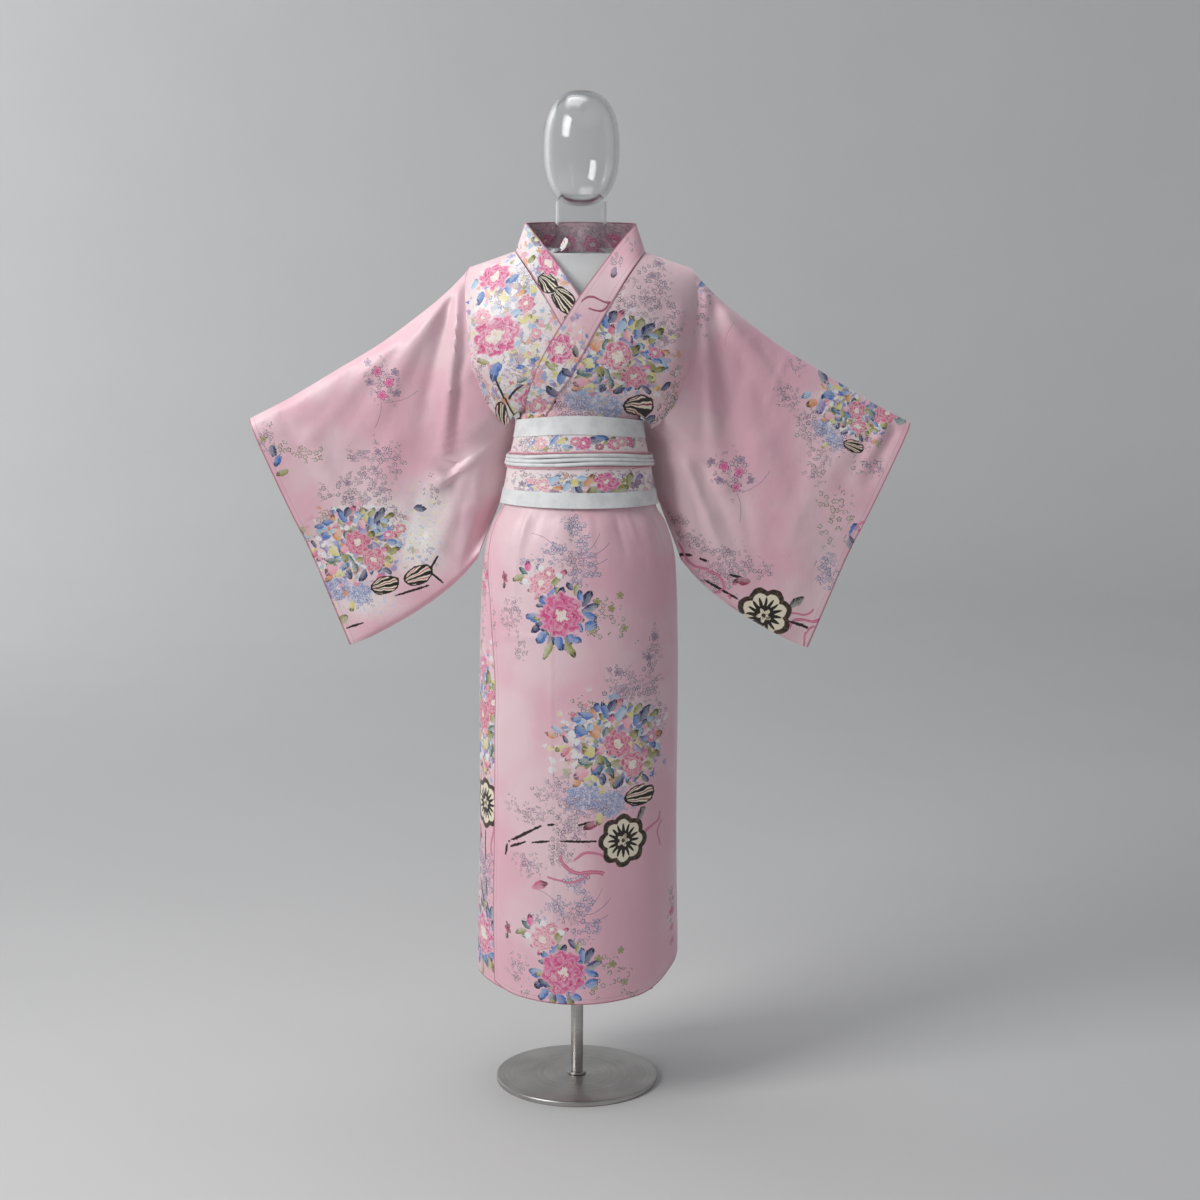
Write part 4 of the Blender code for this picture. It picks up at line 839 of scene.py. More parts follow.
WHEEL = (
    (0, 0, 48, 48, 0, "wheel", "black"),
    (-182, 8, 40, 5, 29, "line", "black"), (-131, 29, 7, 4, 10, "line", "black"),
    (-69, 33, 15, 4, 14, "line", "black"), (-196, -12, 20, 4, 22, "line", "black"),
    (-219, -24, 11, 4, 80, "line", "black"), (-150, -2, 18, 4, 10, "line", "black"),
    (-82, 2, 34, 4, 0, "line", "black"),
    (-78, -44, 44, 17, 150, "cord", "cord"), (-100, -62, 40, 9, 8, "cord", "cord"),
    (-58, -24, 34, 12, 10, "cord", "cord"), (-152, -76, 16, 8, 18, "leaf", "cord"),
    (62, 22, 26, 14, 60, "cord", "cord"), (80, 2, 24, 10, 80, "cord", "cord"),
    (-60, 30, 16, 8, 210, "leaf", "crimson"), (34, 44, 15, 8, 60, "leaf", "black"),
)
WHEEL_FIELDS = (
    (-92, 34, 26, 34, "mauve", 0.85), (-160, 46, 34, 14, "mauve", 0.6), (-200, 60, 18, 12, "mauve", 0.5),
    (-112, -10, 22, 26, "mauve", 0.8), (-176, -42, 26, 20, "mauve", 0.55), (-60, 62, 34, 14, "mauve", 0.6),
)
BUDS = (
    (-8, 20, 12, 10, 100, "bud", "magenta"), (12, 2, 12, 10, 30, "bud", "magenta"),
    (0, -20, 12, 10, 340, "bud", "magenta"), (-22, 2, 9, 8, 0, "bud", "mauve"),
    (22, 20, 9, 8, 0, "bud", "mauve"), (24, -16, 9, 8, 0, "bud", "mauve"),
    (-24, 34, 8, 8, 0, "bud", "mauve"), (-6, -48, 30, 8, 80, "grass", "mauve"),
    (34, -24, 30, 8, 20, "grass", "mauve"),
)
BUDS_FIELDS = ((0, 4, 26, 34, "mauve", 0.55),)
MIXED_INKS = "blue sky olive navy yellow blush blue orange white purple olive rose teal".split()


def scattered(seed, centre, reach, count, inks, small, large):
    """Leaves and dabs spread over an oval. They are dropped later where no layer has room."""
    draw = np.random.default_rng(seed)
    rows = []
    for number in range(count):
        turn, out = draw.uniform(0, 2 * math.pi), math.sqrt(draw.uniform(0, 1))
        long = draw.uniform(small, large)
        x = centre[0] + reach[0] * out * math.cos(turn)
        z = centre[1] + reach[1] * out * math.sin(turn)
        lean = math.degrees(turn) + draw.uniform(-60, 60)
        rows.append((x, z, long, long * draw.uniform(0.5, 0.8), lean, "filler", inks[number % len(inks)]))
    return tuple(rows)


PEONY += scattered(3, (0, 0), (58, 58), 30, ("blue", "navy", "blue", "olive"), 9.0, 15.0)
PEONY += scattered(4, (-30, 60), (48, 34), 24, ("rose", "blush", "white", "magenta"), 6.0, 11.0)
BOUQUET += scattered(5, (-8, 0), (88, 72), 260, MIXED_INKS, 8.0, 17.0)
ARRANGEMENTS = {
    "peony": (PEONY, PEONY_FIELDS),
    "bouquet": (BOUQUET, BOUQUET_FIELDS),
    "wheel": (WHEEL, WHEEL_FIELDS),
    "buds": (BUDS, BUDS_FIELDS),
}
print("motifs in the arrangements:", {name: len(rows[0]) for name, rows in ARRANGEMENTS.items()})

# %% [markdown]
# ## From a view to the flat cloth
# A print lies in the cloth, not in the picture. To place a bouquet where the eye sees it, the helper
# below finds the cloth point nearest to a seen place and returns that point's flat coordinates. The
# bouquet is then laid out in the flat cloth, so it bends and turns with every fold.

# %% Placing arrangements on flat cloth
MM = 0.001


def flat_at(points, flat, place):
    """The flat coordinates of the cloth point nearest to a place seen from the front."""
    away = np.hypot(points[:, 0] - place[0], points[:, 2] - place[1])
    return flat[np.argmin(away)]


def laid_out(name, centre, turn=0.0, scale=1.0, mirrored=False):
    """One arrangement's motifs and fields round a centre in the flat cloth, in metres."""
    motifs, fields = ARRANGEMENTS[name]
    c, s = math.cos(math.radians(turn)), math.sin(math.radians(turn))
    flip = -1.0 if mirrored else 1.0

    def at(x, z):
        x, z = x * flip * scale * MM, z * scale * MM
        return centre[0] + x * c - z * s, centre[1] + x * s + z * c

    placed = []
    for x, z, long, wide, angle, kind, ink in motifs:
        angle = (180 - angle if mirrored else angle) + turn
        placed.append((*at(x, z), long * scale * MM, wide * scale * MM, angle, kind, ink))
    washes = [
        (*at(x, z), a * scale * MM, b * scale * MM, turn, kind, amount)
        for x, z, a, b, kind, amount in fields
    ]
    return placed, washes


def gathered(*parts):
    """Several (motifs, fields) pairs as one."""
    return [row for part in parts for row in part[0]], [row for part in parts for row in part[1]]


print("a turned bouquet starts at", [round(v, 3) for v in laid_out("bouquet", (0.1, 1.0), 30)[0][0][:2]])

# %% [markdown]
# ## From motifs to the mesh
# Each face of the cloth keeps, for every print layer, the nearest motif: the face's corners get their
# place inside that motif, and the motif's ink. The material then draws petals, veins and brush lines
# from those few numbers. Motifs that would overlap go to another layer, so one can lie on the other.

# %% Writing the print into a mesh
LAYERS = {
    "stroke_1": ("line", "cord", "grass"),
    "stroke_2": ("line", "cord", "grass"),
    "leaf_1": ("leaf", "bud", "shell", "filler"),
    "leaf_2": ("leaf", "bud", "shell", "filler"),
    "bloom_1": ("bloom", "wheel"),
    "bloom_2": ("bloom", "wheel"),
}
KIND_NUMBER = {
    "line": 1, "cord": 2, "grass": 3, "filler": 1, "leaf": 1, "bud": 2, "shell": 3, "bloom": 1, "wheel": 2,
}
FIELD_NAMES = ("mauve", "olive", "wash", "lilac", "hydrangea", "dabs")
FACE_REACH = 0.0075
OVERLAP_ALLOWED = 0.80
FAR_AWAY = 9.0
PHASE_START, PHASE_SPAN, PHASE_STEP = 0.05, 0.9, 0.618
PALE_START, PALE_SPAN, PALE_STEP = 0.25, 0.55, 0.382
FIELD_FALL, FIELD_POWER = 0.9, 1.4


def inside_motif(places, x, z, turn):
    """Flat places as seen from a motif's centre: along its length and across it."""
    c, s = math.cos(math.radians(turn)), math.sin(math.radians(turn))
    dx, dz = places[:, 0] - x, places[:, 1] - z
    return dx * c + dz * s, -dx * s + dz * c


def sorted_in_layers(motifs):
    """Puts each motif in the first layer of its kind where it lies clear of the others."""
    layers = {name: [] for name in LAYERS}
    for number, motif in enumerate(motifs):
        x, z, long, wide = motif[:4]
        own = [name for name, kinds in LAYERS.items() if motif[5] in kinds]
        clear = []
        for name in own:
            gaps = [
                math.hypot(x - other_x, z - other_z) / (math.sqrt(long * wide) + math.sqrt(a * b))
                for (other_x, other_z, a, b, *_), _ in layers[name]
            ]
            clear.append(min(gaps, default=FAR_AWAY))
        fits = [name for name, gap in zip(own, clear) if gap > OVERLAP_ALLOWED]
        if fits or motif[5] != "filler":
            layers[fits[0] if fits else own[int(np.argmax(clear))]].append((motif, number))
    return layers


def store(mesh, name, kind, domain, key, values):
    """Keeps an array on the mesh as a named attribute, for the material to read."""
    mesh.attributes.new(name, kind, domain).data.foreach_set(key, values.astype(np.float32).ravel())


def nearest_motifs(middles, rows, measure):
    """For each face the row of the motif that lies nearest to its middle, or -1."""
    best = np.full(len(middles), 1.0)
    chosen = np.full(len(middles), -1)
    for index, ((x, z, long, wide, turn, *_), _) in enumerate(rows):
        a, b = inside_motif(middles, x, z, turn)
        reach = measure(np.abs(a) / (long + FACE_REACH), np.abs(b) / (wide + FACE_REACH))
        nearer = reach < best
        best[nearer] = reach[nearer]
        chosen[nearer] = index
    return chosen


def motif_values(chosen, rows, places):
    """For each corner of a face its place inside the face's motif, and that motif's ink."""
    place = np.zeros((len(places), 3), np.float32)
    colour = np.zeros((len(places), 4), np.float32)
    place[:, :2] = FAR_AWAY
    for index, ((x, z, long, wide, turn, kind, ink), number) in enumerate(rows):
        mine = chosen == index
        a, b = inside_motif(places[mine], x, z, turn)
        place[mine, 0] = a / long
        place[mine, 1] = b / wide
        place[mine, 2] = KIND_NUMBER[kind] + PHASE_START + PHASE_SPAN * ((number * PHASE_STEP) % 1.0)
        colour[mine, :3] = linear(INKS[ink])
        colour[mine, 3] = PALE_START + PALE_SPAN * ((number * PALE_STEP) % 1.0)
    return place, colour


def write_print(mesh, flat, motifs, fields):
    """Stores each layer's motif coordinates and inks, and the fields of small florets."""
    corners = np.empty(len(mesh.loops), np.int32)
    mesh.loops.foreach_get("vertex_index", corners)
    starts = np.empty(len(mesh.polygons), np.int32)
    counts = np.empty(len(mesh.polygons), np.int32)
    mesh.polygons.foreach_get("loop_start", starts)
    mesh.polygons.foreach_get("loop_total", counts)
    face_of = np.repeat(np.arange(len(starts)), counts)
    corner_flat = flat[corners]
    middle = np.stack([np.bincount(face_of, corner_flat[:, i]) / counts for i in range(2)], axis=-1)
    uv = mesh.uv_layers.new(name="Cloth")
    uv.data.foreach_set("uv", corner_flat.astype(np.float32).ravel())
    for name, rows in sorted_in_layers(motifs).items():
        measure = np.maximum if name.startswith("stroke") else np.hypot
        chosen = nearest_motifs(middle, rows, measure)
        place, colour = motif_values(chosen[face_of], rows, corner_flat)
        store(mesh, name, "FLOAT_VECTOR", "CORNER", "vector", place)
        store(mesh, name + "_ink", "FLOAT_COLOR", "CORNER", "color", colour)
    amounts = {name: np.zeros(len(flat), np.float32) for name in FIELD_NAMES}
    for x, z, a, b, turn, kind, amount in fields:
        along, across = inside_motif(flat, x, z, turn)
        away = (along / a) ** 2 + (across / b) ** 2
        here = amount * np.exp(-FIELD_FALL * away**FIELD_POWER)
        amounts[kind] = np.maximum(amounts[kind], here).astype(np.float32)
    for name, values in amounts.items():
        store(mesh, name, "FLOAT", "POINT", "value", values)


print("print layers:", ", ".join(LAYERS))

# %% [markdown]
# ## A small tool for node trees
# The print is drawn with mathematics, which takes many small nodes. Linking each by hand is slow to
# read, so this helper lets the material be written like a formula: every call adds one node and
# returns its output. An underscore in an input's name stands for a space.

# %% A helper that writes nodes like formulas
class Formula:
    def __init__(self, tree):
        self.tree = tree

    def put(self, value, socket):
        if isinstance(value, bpy.types.NodeSocket):
            self.tree.links.new(value, socket)
        elif value is not None:
            socket.default_value = value

    def node(self, kind, **settings):
        made = self.tree.nodes.new(kind)
        for name, value in settings.items():
            setattr(made, name, value)
        return made

    def feed(self, node, *values, **named):
        """Gives a node's inputs their values or links, in order or by name."""
        for value, socket in zip(values, node.inputs):
            self.put(value, socket)
        for name, value in named.items():
            self.put(value, node.inputs[name.replace("_", " ")])
        return node.outputs

    def math(self, operation, *values, clamp=False):
        made = self.node("ShaderNodeMath", operation=operation, use_clamp=clamp)
        return self.feed(made, *values)[0]

    plus = partialmethod(math, "ADD")
    minus = partialmethod(math, "SUBTRACT")
    times = partialmethod(math, "MULTIPLY")
    times_plus = partialmethod(math, "MULTIPLY_ADD")
    size = partialmethod(math, "ABSOLUTE")
    sine = partialmethod(math, "SINE")
    cosine = partialmethod(math, "COSINE")
    angle = partialmethod(math, "ARCTAN2")
    fraction = partialmethod(math, "FRACT")

    def radius(self, x, y):
        return self.math("SQRT", self.plus(self.times(x, x), self.times(y, y)))

    def vectors(self, operation, *values):
        return self.feed(self.node("ShaderNodeVectorMath", operation=operation), *values)[0]

    def ramp(self, value, low, high, start=0.0, end=1.0):
        made = self.node("ShaderNodeMapRange", interpolation_type="SMOOTHSTEP")
        return self.feed(made, value, low, high, start, end)[0]

    def from_kind(self, kind, number, below=0.0, above=1.0):
        """One value for motifs below this kind number and another from it on."""
        return self.ramp(kind, number - 0.01, number + 0.01, below, above)

    def mix(self, share, first, second, blend="MIX"):
        made = self.node("ShaderNodeMix", data_type="RGBA", blend_type=blend)
        self.put(share, made.inputs[0])
        for value, socket in ((first, made.inputs[6]), (second, made.inputs[7])):
            self.put((*value, 1.0) if isinstance(value, tuple) and len(value) == 3 else value, socket)
        return made.outputs[2]

    def noise(self, where, scale, detail=2.0, roughness=0.5, dimensions="3D", output=0):
        made = self.node("ShaderNodeTexNoise", noise_dimensions=dimensions)
        return self.feed(made, Vector=where, Scale=scale, Detail=detail, Roughness=roughness)[output]

    def cells(self, where, size):
        made = self.node("ShaderNodeTexVoronoi", voronoi_dimensions="2D", feature="F1")
        return self.feed(made, Vector=where, Scale=1.0 / size)

    def bump(self, height, strength, distance, normal=None):
        made = self.node("ShaderNodeBump")
        return self.feed(made, Height=height, Strength=strength, Distance=distance, Normal=normal)[0]

    def parts(self, vector):
        return self.feed(self.node("ShaderNodeSeparateXYZ"), vector)

    def vector(self, x, y, z=0.0):
        return self.feed(self.node("ShaderNodeCombineXYZ"), x, y, z)[0]

    def attribute(self, name, output="Fac"):
        return self.node("ShaderNodeAttribute", attribute_name=name).outputs[output]

    def object_place(self):
        return self.node("ShaderNodeTexCoord").outputs["Object"]


INK_INPUTS = {
    "Place": "Vector", "Ink": "Color", "Paleness": "Float", "Rough": "Float", "Under": "Color",
    "Sway": "Vector",
}
FULL_TURN = 6.283


def ink_group(name, draw):
    """A node group that draws one kind of motif over what lies under it."""
    tree = bpy.data.node_groups.new(name, "ShaderNodeTree")
    for socket, kind in INK_INPUTS.items():
        tree.interface.new_socket(socket, in_out="INPUT", socket_type="NodeSocket" + kind)
    tree.interface.new_socket("Colour", in_out="OUTPUT", socket_type="NodeSocketColor")
    given = tree.nodes.new("NodeGroupInput").outputs
    result = tree.nodes.new("NodeGroupOutput")
    drawn = draw(Formula(tree), *(given[name] for name in INK_INPUTS))
    tree.links.new(drawn, result.inputs["Colour"])
    return tree


def swayed(f, place, sway, rough, first, others):
    """The place inside a motif, pushed about a little so that no outline looks drawn with compasses."""
    u, v, kind = f.parts(place)
    du, dv, _ = f.parts(sway)
    amount = f.from_kind(kind, 2, first, others)
    return f.times_plus(du, amount, u), f.times_plus(dv, amount, v), kind, f.minus(rough, 0.5)


print("formula helper ready, ink inputs:", ", ".join(INK_INPUTS))

# %% [markdown]
# ## Flowers
# A peony is drawn as rings of petals, from the outside in. Each ring has a wavy rim that is pale at
# its edge and deep towards its middle, so each petal seems to lie over the one behind. The wheel uses
# the same polar coordinates, but with hard black and cream parts.

# %% Draw blooms and the flower wheel
PETAL_RINGS = ((8, 0.98, 0.17, 1.0), (6, 0.76, 0.20, 2.3), (5, 0.54, 0.16, 4.1))
DEEP_PETAL = linear((0.74, 0.16, 0.40))
HEART_PALE, HEART_WARM = linear((0.96, 0.93, 0.90)), linear((0.93, 0.80, 0.72))
WHEEL_RIM_INK, WHEEL_HEART_INK = linear((0.42, 0.33, 0.24)), linear((0.46, 0.42, 0.30))


def draw_bloom(f, place, ink, paleness, rough, under, sway):
    u, v, kind, rough = swayed(f, place, sway, rough, 0.66, 0.07)
    r = f.radius(u, v)
    angle = f.angle(v, u)
    seed = f.times(f.fraction(kind), FULL_TURN)
    light = f.mix(f.plus(f.times(paleness, 0.7), 0.30), ink, PAPER_WHITE)
    dark = f.mix(0.55, ink, DEEP_PETAL)
    petals = f.noise(f.vector(f.times(angle, 2.2), f.times(r, 1.5), kind), 3.2)
    colour = under
    for count, edge, depth, turn in PETAL_RINGS:
        wave = f.size(f.cosine(f.plus(f.times(angle, count / 2), f.times(seed, turn))))
        rim = f.times_plus(rough, 0.30, f.times_plus(wave, depth, edge - depth))
        gap = f.minus(rim, r)
        tone = f.ramp(f.times_plus(petals, 0.30, gap), 0.14, 0.34)
        streak = f.ramp(f.times_plus(rough, 0.5, petals), 0.38, 0.62)
        shade = f.mix(tone, light, f.mix(streak, dark, f.mix(0.25, ink, light)))
        colour = f.mix(f.ramp(gap, 0.0, 0.05), colour, shade)
    heart = f.times_plus(rough, 0.45, f.minus(f.times_plus(paleness, 0.22, 0.20), r))
    stamens = f.mix(f.ramp(f.plus(petals, rough), 0.50, 0.70), HEART_PALE, HEART_WARM)
    colour = f.mix(f.ramp(heart, 0.0, 0.07), colour, stamens)
    colour = f.mix(f.from_kind(kind, 2), colour, draw_wheel(f, r, angle, rough, under))
    return f.mix(f.ramp(kind, 0.5, 0.6), under, colour)


def draw_wheel(f, r, angle, rough, under):
    """A rim of eight lobes, sixteen spikes that point outwards, and a flower of five petals."""
    black = linear(INKS["black"])
    lobes = f.size(f.cosine(f.times(angle, 4.0)))
    gap = f.minus(f.times_plus(rough, 0.05, f.times_plus(lobes, 0.14, 0.84)), r)
    spike = f.size(f.cosine(f.times(angle, 8.0)))
    spike_end = f.times_plus(f.times(spike, spike), 0.27, 0.36)
    brown = f.mix(f.ramp(rough, -0.1, 0.2), black, WHEEL_RIM_INK)
    colour = f.mix(f.ramp(gap, 0.0, 0.02), under, brown)
    colour = f.mix(f.ramp(gap, 0.19, 0.22), colour, CREAM)
    colour = f.mix(f.ramp(f.minus(spike_end, r), 0.0, 0.03), colour, black)
    petals = f.times_plus(f.cosine(f.times(angle, 5.0)), 0.06, 0.21)
    heart = f.mix(f.ramp(rough, -0.05, 0.15), CREAM, WHEEL_HEART_INK)
    colour = f.mix(f.ramp(f.minus(petals, r), 0.0, 0.03), colour, heart)
    return f.mix(f.ramp(f.minus(0.08, r), 0.0, 0.02), colour, brown)


bloom_group = ink_group("bloom", draw_bloom)
print("bloom nodes:", len(bloom_group.nodes))

# %% [markdown]
# ## Leaves, buds and shells
# A leaf is a pointed oval with a pale midrib, slanted veins and a dark tip, as if one brush stroke
# had been loaded with two colours. Buds are five-petalled outlines. The shell is a fan of dark and
# pale stripes.

# %% Draw leaves, buds and the striped shell
def draw_leaf(f, place, ink, paleness, rough, under, sway):
    u, v, kind, rough = swayed(f, place, sway, rough, 0.85, 0.30)
    side_v = f.size(v)
    limit = f.math("POWER", f.minus(1.0, f.times(u, u), clamp=True), 0.7)
    limit = f.times_plus(rough, 0.5, f.times(limit, 0.9))
    veins = f.sine(f.plus(f.times(u, 15.0), f.times(side_v, -9.0)))
    pale = f.mix(f.times_plus(paleness, 0.5, 0.12), ink, PAPER_WHITE)
    body = f.mix(f.ramp(f.plus(v, f.times(rough, 2.0)), -0.7, 0.7), pale, ink)
    body = f.mix(f.ramp(veins, 0.3, 0.95, 0.0, 0.45), body, pale)
    deep = f.mix(0.80, ink, (0.06, 0.06, 0.12), "MULTIPLY")
    tip = f.times_plus(rough, 1.2, f.times_plus(paleness, -0.8, u))
    body = f.mix(f.ramp(tip, -0.10, 0.40), body, deep)
    body = f.mix(f.ramp(side_v, 0.03, 0.10, 0.8, 0.0), body, pale)
    leaf = f.mix(f.ramp(f.minus(limit, side_v), 0.0, 0.12), under, body)
    r = f.radius(u, v)
    lobes = f.size(f.cosine(f.times_plus(f.angle(v, u), 2.5, kind)))
    gap = f.minus(f.times_plus(rough, 0.3, f.times_plus(lobes, 0.38, 0.50)), r)
    bud = f.mix(f.ramp(gap, 0.0, 0.06), under, f.mix(0.55, ink, deep))
    bud = f.mix(f.ramp(gap, 0.10, 0.20), bud, f.mix(f.ramp(gap, 0.2, 0.6), pale, ink))
    shell = draw_shell(f, u, v, r, ink, rough, under)
    colour = f.mix(f.from_kind(kind, 2), leaf, bud)
    colour = f.mix(f.from_kind(kind, 3), colour, shell)
    return f.mix(f.ramp(kind, 0.5, 0.6), under, colour)


def draw_shell(f, u, v, r, ink, rough, under):
    """Stripes that fan out from a point before the motif's near end, inside a dark outline."""
    black = linear(INKS["black"])
    fan = f.sine(f.times(f.angle(v, f.plus(u, 1.35)), 15.0))
    edge = f.minus(f.minus(1.0, f.times(r, 1.05)), f.times(rough, 0.2))
    stripes = f.mix(f.ramp(fan, -0.30, -0.10), black, f.mix(f.ramp(fan, 0.80, 0.95), CREAM, ink))
    shell = f.mix(f.ramp(edge, 0.0, 0.03), under, black)
    return f.mix(f.ramp(edge, 0.13, 0.17), shell, stripes)


leaf_group = ink_group("leaf", draw_leaf)
print("leaf nodes:", len(leaf_group.nodes))

# %% [markdown]
# ## Strokes
# Brush lines, cords and blades of grass have their own layers, so that they can cross the leaves. A
# line swells in its middle, a cord swings like a wave and has a pale core, and grass bends in an arc.

# %% Draw lines, cords and grass
def draw_stroke(f, place, ink, paleness, rough, under, sway):
    u, v, kind, rough = swayed(f, place, sway, rough, 0.08, 0.20)
    seed = f.times(f.fraction(kind), FULL_TURN)
    ends = f.ramp(f.size(u), 0.90, 1.0, 1.0, 0.0)
    thick = f.times_plus(rough, 1.2, f.times_plus(f.times(u, u), -0.25, 0.62))
    line = f.ramp(f.minus(thick, f.size(v)), 0.0, 0.15)
    swing = f.times(f.sine(f.times_plus(u, 2.4, seed)), 0.72)
    off = f.size(f.minus(v, swing))
    cord = f.ramp(off, 0.15, 0.24, 1.0, 0.0)
    bend = f.times_plus(f.times(u, u), 0.8, -0.4)
    grass = f.ramp(f.size(f.minus(v, bend)), 0.03, 0.09, 0.75, 0.0)
    amount = f.mix(f.from_kind(kind, 2), line, cord)
    amount = f.mix(f.from_kind(kind, 3), amount, grass)
    core = f.mix(f.ramp(off, 0.0, 0.12), f.mix(0.25, ink, PAPER_WHITE), ink)
    colour = f.mix(f.from_kind(kind, 2), ink, core)
    amount = f.times(f.times(amount, ends), f.ramp(kind, 0.5, 0.6))
    return f.mix(amount, under, colour)


stroke_group = ink_group("stroke", draw_stroke)
print("stroke nodes:", len(stroke_group.nodes))

# %% [markdown]
# ## Small print between the motifs
# Two patterns fill the cloth between the motifs without any table: sprays of tiny five-petalled
# outlines, and a loose mosaic of brush dabs. Both start from cells, and a field's amount decides how
# many of the cells are printed.

# %% Draw florets and dabs
DAB_INKS = "blush sky white olive rose yellow blue white purple orange white mauve".split()


def florets(f, cloth, colour, amount, ink, size, seed):
    """Tiny five-petalled outlines, one in each cell, more of them where the amount is higher."""
    place = f.vectors("ADD", cloth, (seed, seed * 0.7, 0.0))
    cells = f.cells(place, size)
    dx, dy, _ = f.parts(f.vectors("SUBTRACT", place, cells["Position"]))
    chance, turn, tone = f.parts(cells["Color"])
    r = cells["Distance"]
    lobes = f.size(f.cosine(f.times_plus(f.angle(dy, dx), 2.5, f.times(turn, 6.0))))
    rim = f.times_plus(lobes, 0.22, 0.21)
    line = f.ramp(f.size(f.minus(r, rim)), 0.055, 0.120, 1.0, 0.0)
    dot = f.ramp(r, 0.06, 0.12, 1.0, 0.0)
    there = f.ramp(f.minus(amount, chance), 0.0, 0.05)
    fill = f.times(f.ramp(f.minus(rim, r), 0.0, 0.05), 0.45)
    colour = f.mix(f.times(fill, there), colour, PAPER_WHITE)
    strength = f.times(f.math("MAXIMUM", line, dot), f.times_plus(tone, 0.35, 0.65))
    return f.mix(f.times(strength, there), colour, ink)


def dabs(f, cloth, colour, amount, size, seed):
    """A loose mosaic of short brush dabs in the print's own inks."""
    bend = f.noise(cloth, 150.0, dimensions="2D", output="Color")
    bent = f.vectors("MULTIPLY_ADD", bend, (size * 1.6, size * 1.2, 0.0), cloth)
    cells = f.cells(f.vectors("ADD", bent, (seed, seed * 0.3, 0.0)), size)
    chance, pick, tone = f.parts(cells["Color"])
    palette = f.node("ShaderNodeValToRGB")
    ramp = palette.color_ramp
    ramp.interpolation = "CONSTANT"
    while len(ramp.elements) < len(DAB_INKS):
        ramp.elements.new(1.0)
    for number, name in enumerate(DAB_INKS):
        ramp.elements[number].position = number / len(DAB_INKS)
        ramp.elements[number].color = (*linear(INKS[name]), 1.0)
    f.put(pick, palette.inputs[0])
    shade = f.mix(f.times(tone, 0.45), palette.outputs[0], PAPER_WHITE)
    there = f.ramp(f.minus(amount, chance), 0.0, 0.08)
    body = f.ramp(cells["Distance"], 0.38, 0.72, 0.92, 0.0)
    return f.mix(f.times(there, body), colour, shade)


print("dab inks:", len(DAB_INKS))

# %% [markdown]
# ## The printed satin
# Under the motifs lies the satin itself: a soft pink with a slow change of tone, and pale washes
# where the bouquets are. A soft sheen, a roughness that changes slowly over the cloth and low wrinkles
# make it read as satin. The weave bump is fine enough to vanish far away. A dark line of thread
# follows each free edge, 9 mm inside it, where the edge is turned in and sewn. Right at the edge the
# colour turns deep rose: partly the edge's piping, partly a painted shadow of the lifted edge.

# %% Make the cloth materials
SHEEN_ROUGHNESS = 0.35
SATIN_SPECULAR = 0.55
WRINKLE_DEPTH = 0.004
THREAD_STRENGTH, THREAD_DEPTH = 0.25, 0.0001
FLORETS = (
    ("mauve", (0.47, 0.32, 0.44), 0.0092, 3.1), ("mauve", (0.54, 0.38, 0.50), 0.0062, 7.7),
    ("olive", (0.47, 0.40, 0.24), 0.0096, 5.3), ("lilac", (0.48, 0.46, 0.66), 0.0066, 1.9),
    ("lilac", (0.40, 0.38, 0.54), 0.0086, 9.2), ("hydrangea", (0.36, 0.42, 0.68), 0.0066, 4.4),
)
LARGE_DAB, SMALL_DAB = 0.0125, 0.0080
BLUE_WASH, YELLOW_WASH = linear((0.72, 0.80, 0.93)), linear((0.93, 0.89, 0.62))
BLUE_MASS, PALE_MASS = linear((0.50, 0.62, 0.82)), linear((0.82, 0.84, 0.90))
# A thread colour for the stitch line, and a deep rose for the free edges that is partly piping, partly
# painted shadow of the lifted edge.
STITCH_INK, EDGE_SHADOW_AND_PIPING = linear((0.62, 0.36, 0.42)), linear((0.64, 0.29, 0.40))
STITCH_FROM, STITCH_FULL, STITCH_FADE, STITCH_TO = 0.0082, 0.0089, 0.0091, 0.0098
EDGE_SHADOW_FULL, EDGE_SHADOW_TO = 0.0016, 0.0032
INK_GROUPS = {"stroke": stroke_group, "leaf": leaf_group, "bloom": bloom_group}


def new_material(name):
    made = bpy.data.materials.new(name)
    made.use_nodes = True
    return made, Formula(made.node_tree), made.node_tree.nodes["Principled BSDF"]


def satin_finish(f, shader, colour, roughness, sheen, wrinkle):
    place = f.object_place()
    slow = f.noise(place, 24.0, 3.0)
    height = f.times_plus(f.noise(place, 70.0), 0.18, f.noise(place, 17.0, 3.0, 0.55))
    wrinkles = f.bump(height, wrinkle, WRINKLE_DEPTH)
    threads = f.bump(f.noise(place, 2600.0, 1.0), THREAD_STRENGTH, THREAD_DEPTH, wrinkles)
    f.feed(
        shader, Base_Color=colour, Roughness=f.times_plus(slow, 0.16, roughness - 0.08),
        Sheen_Weight=sheen, Sheen_Roughness=SHEEN_ROUGHNESS, Specular_IOR_Level=SATIN_SPECULAR,
        Normal=threads,
    )


def printed_ground(f, cloth, base, brush):
    """The satin's own colour with its washes and the blue masses under the bouquets."""
    tone = f.noise(cloth, 5.0, 3.0, 0.5, "2D")
    colour = f.mix(f.ramp(tone, 0.35, 0.65), base, f.mix(0.35, base, PAPER_WHITE))
    wash = f.times(f.attribute("wash"), f.ramp(brush, 0.25, 0.52, 0.55, 1.0))
    colour = f.mix(wash, colour, PAPER_WHITE)
    blot = f.ramp(f.noise(cloth, 75.0, 1.0, 0.5, "2D"), 0.42, 0.60)
    blots = f.mix(blot, BLUE_WASH, YELLOW_WASH)
    colour = f.mix(f.times(wash, f.ramp(brush, 0.52, 0.66, 0.0, 0.8)), colour, blots)
    blue_mass = f.mix(f.ramp(brush, 0.38, 0.60), BLUE_MASS, PALE_MASS)
    return f.mix(f.ramp(f.attribute("hydrangea"), 0.35, 0.60, 0.0, 0.75), colour, blue_mass)


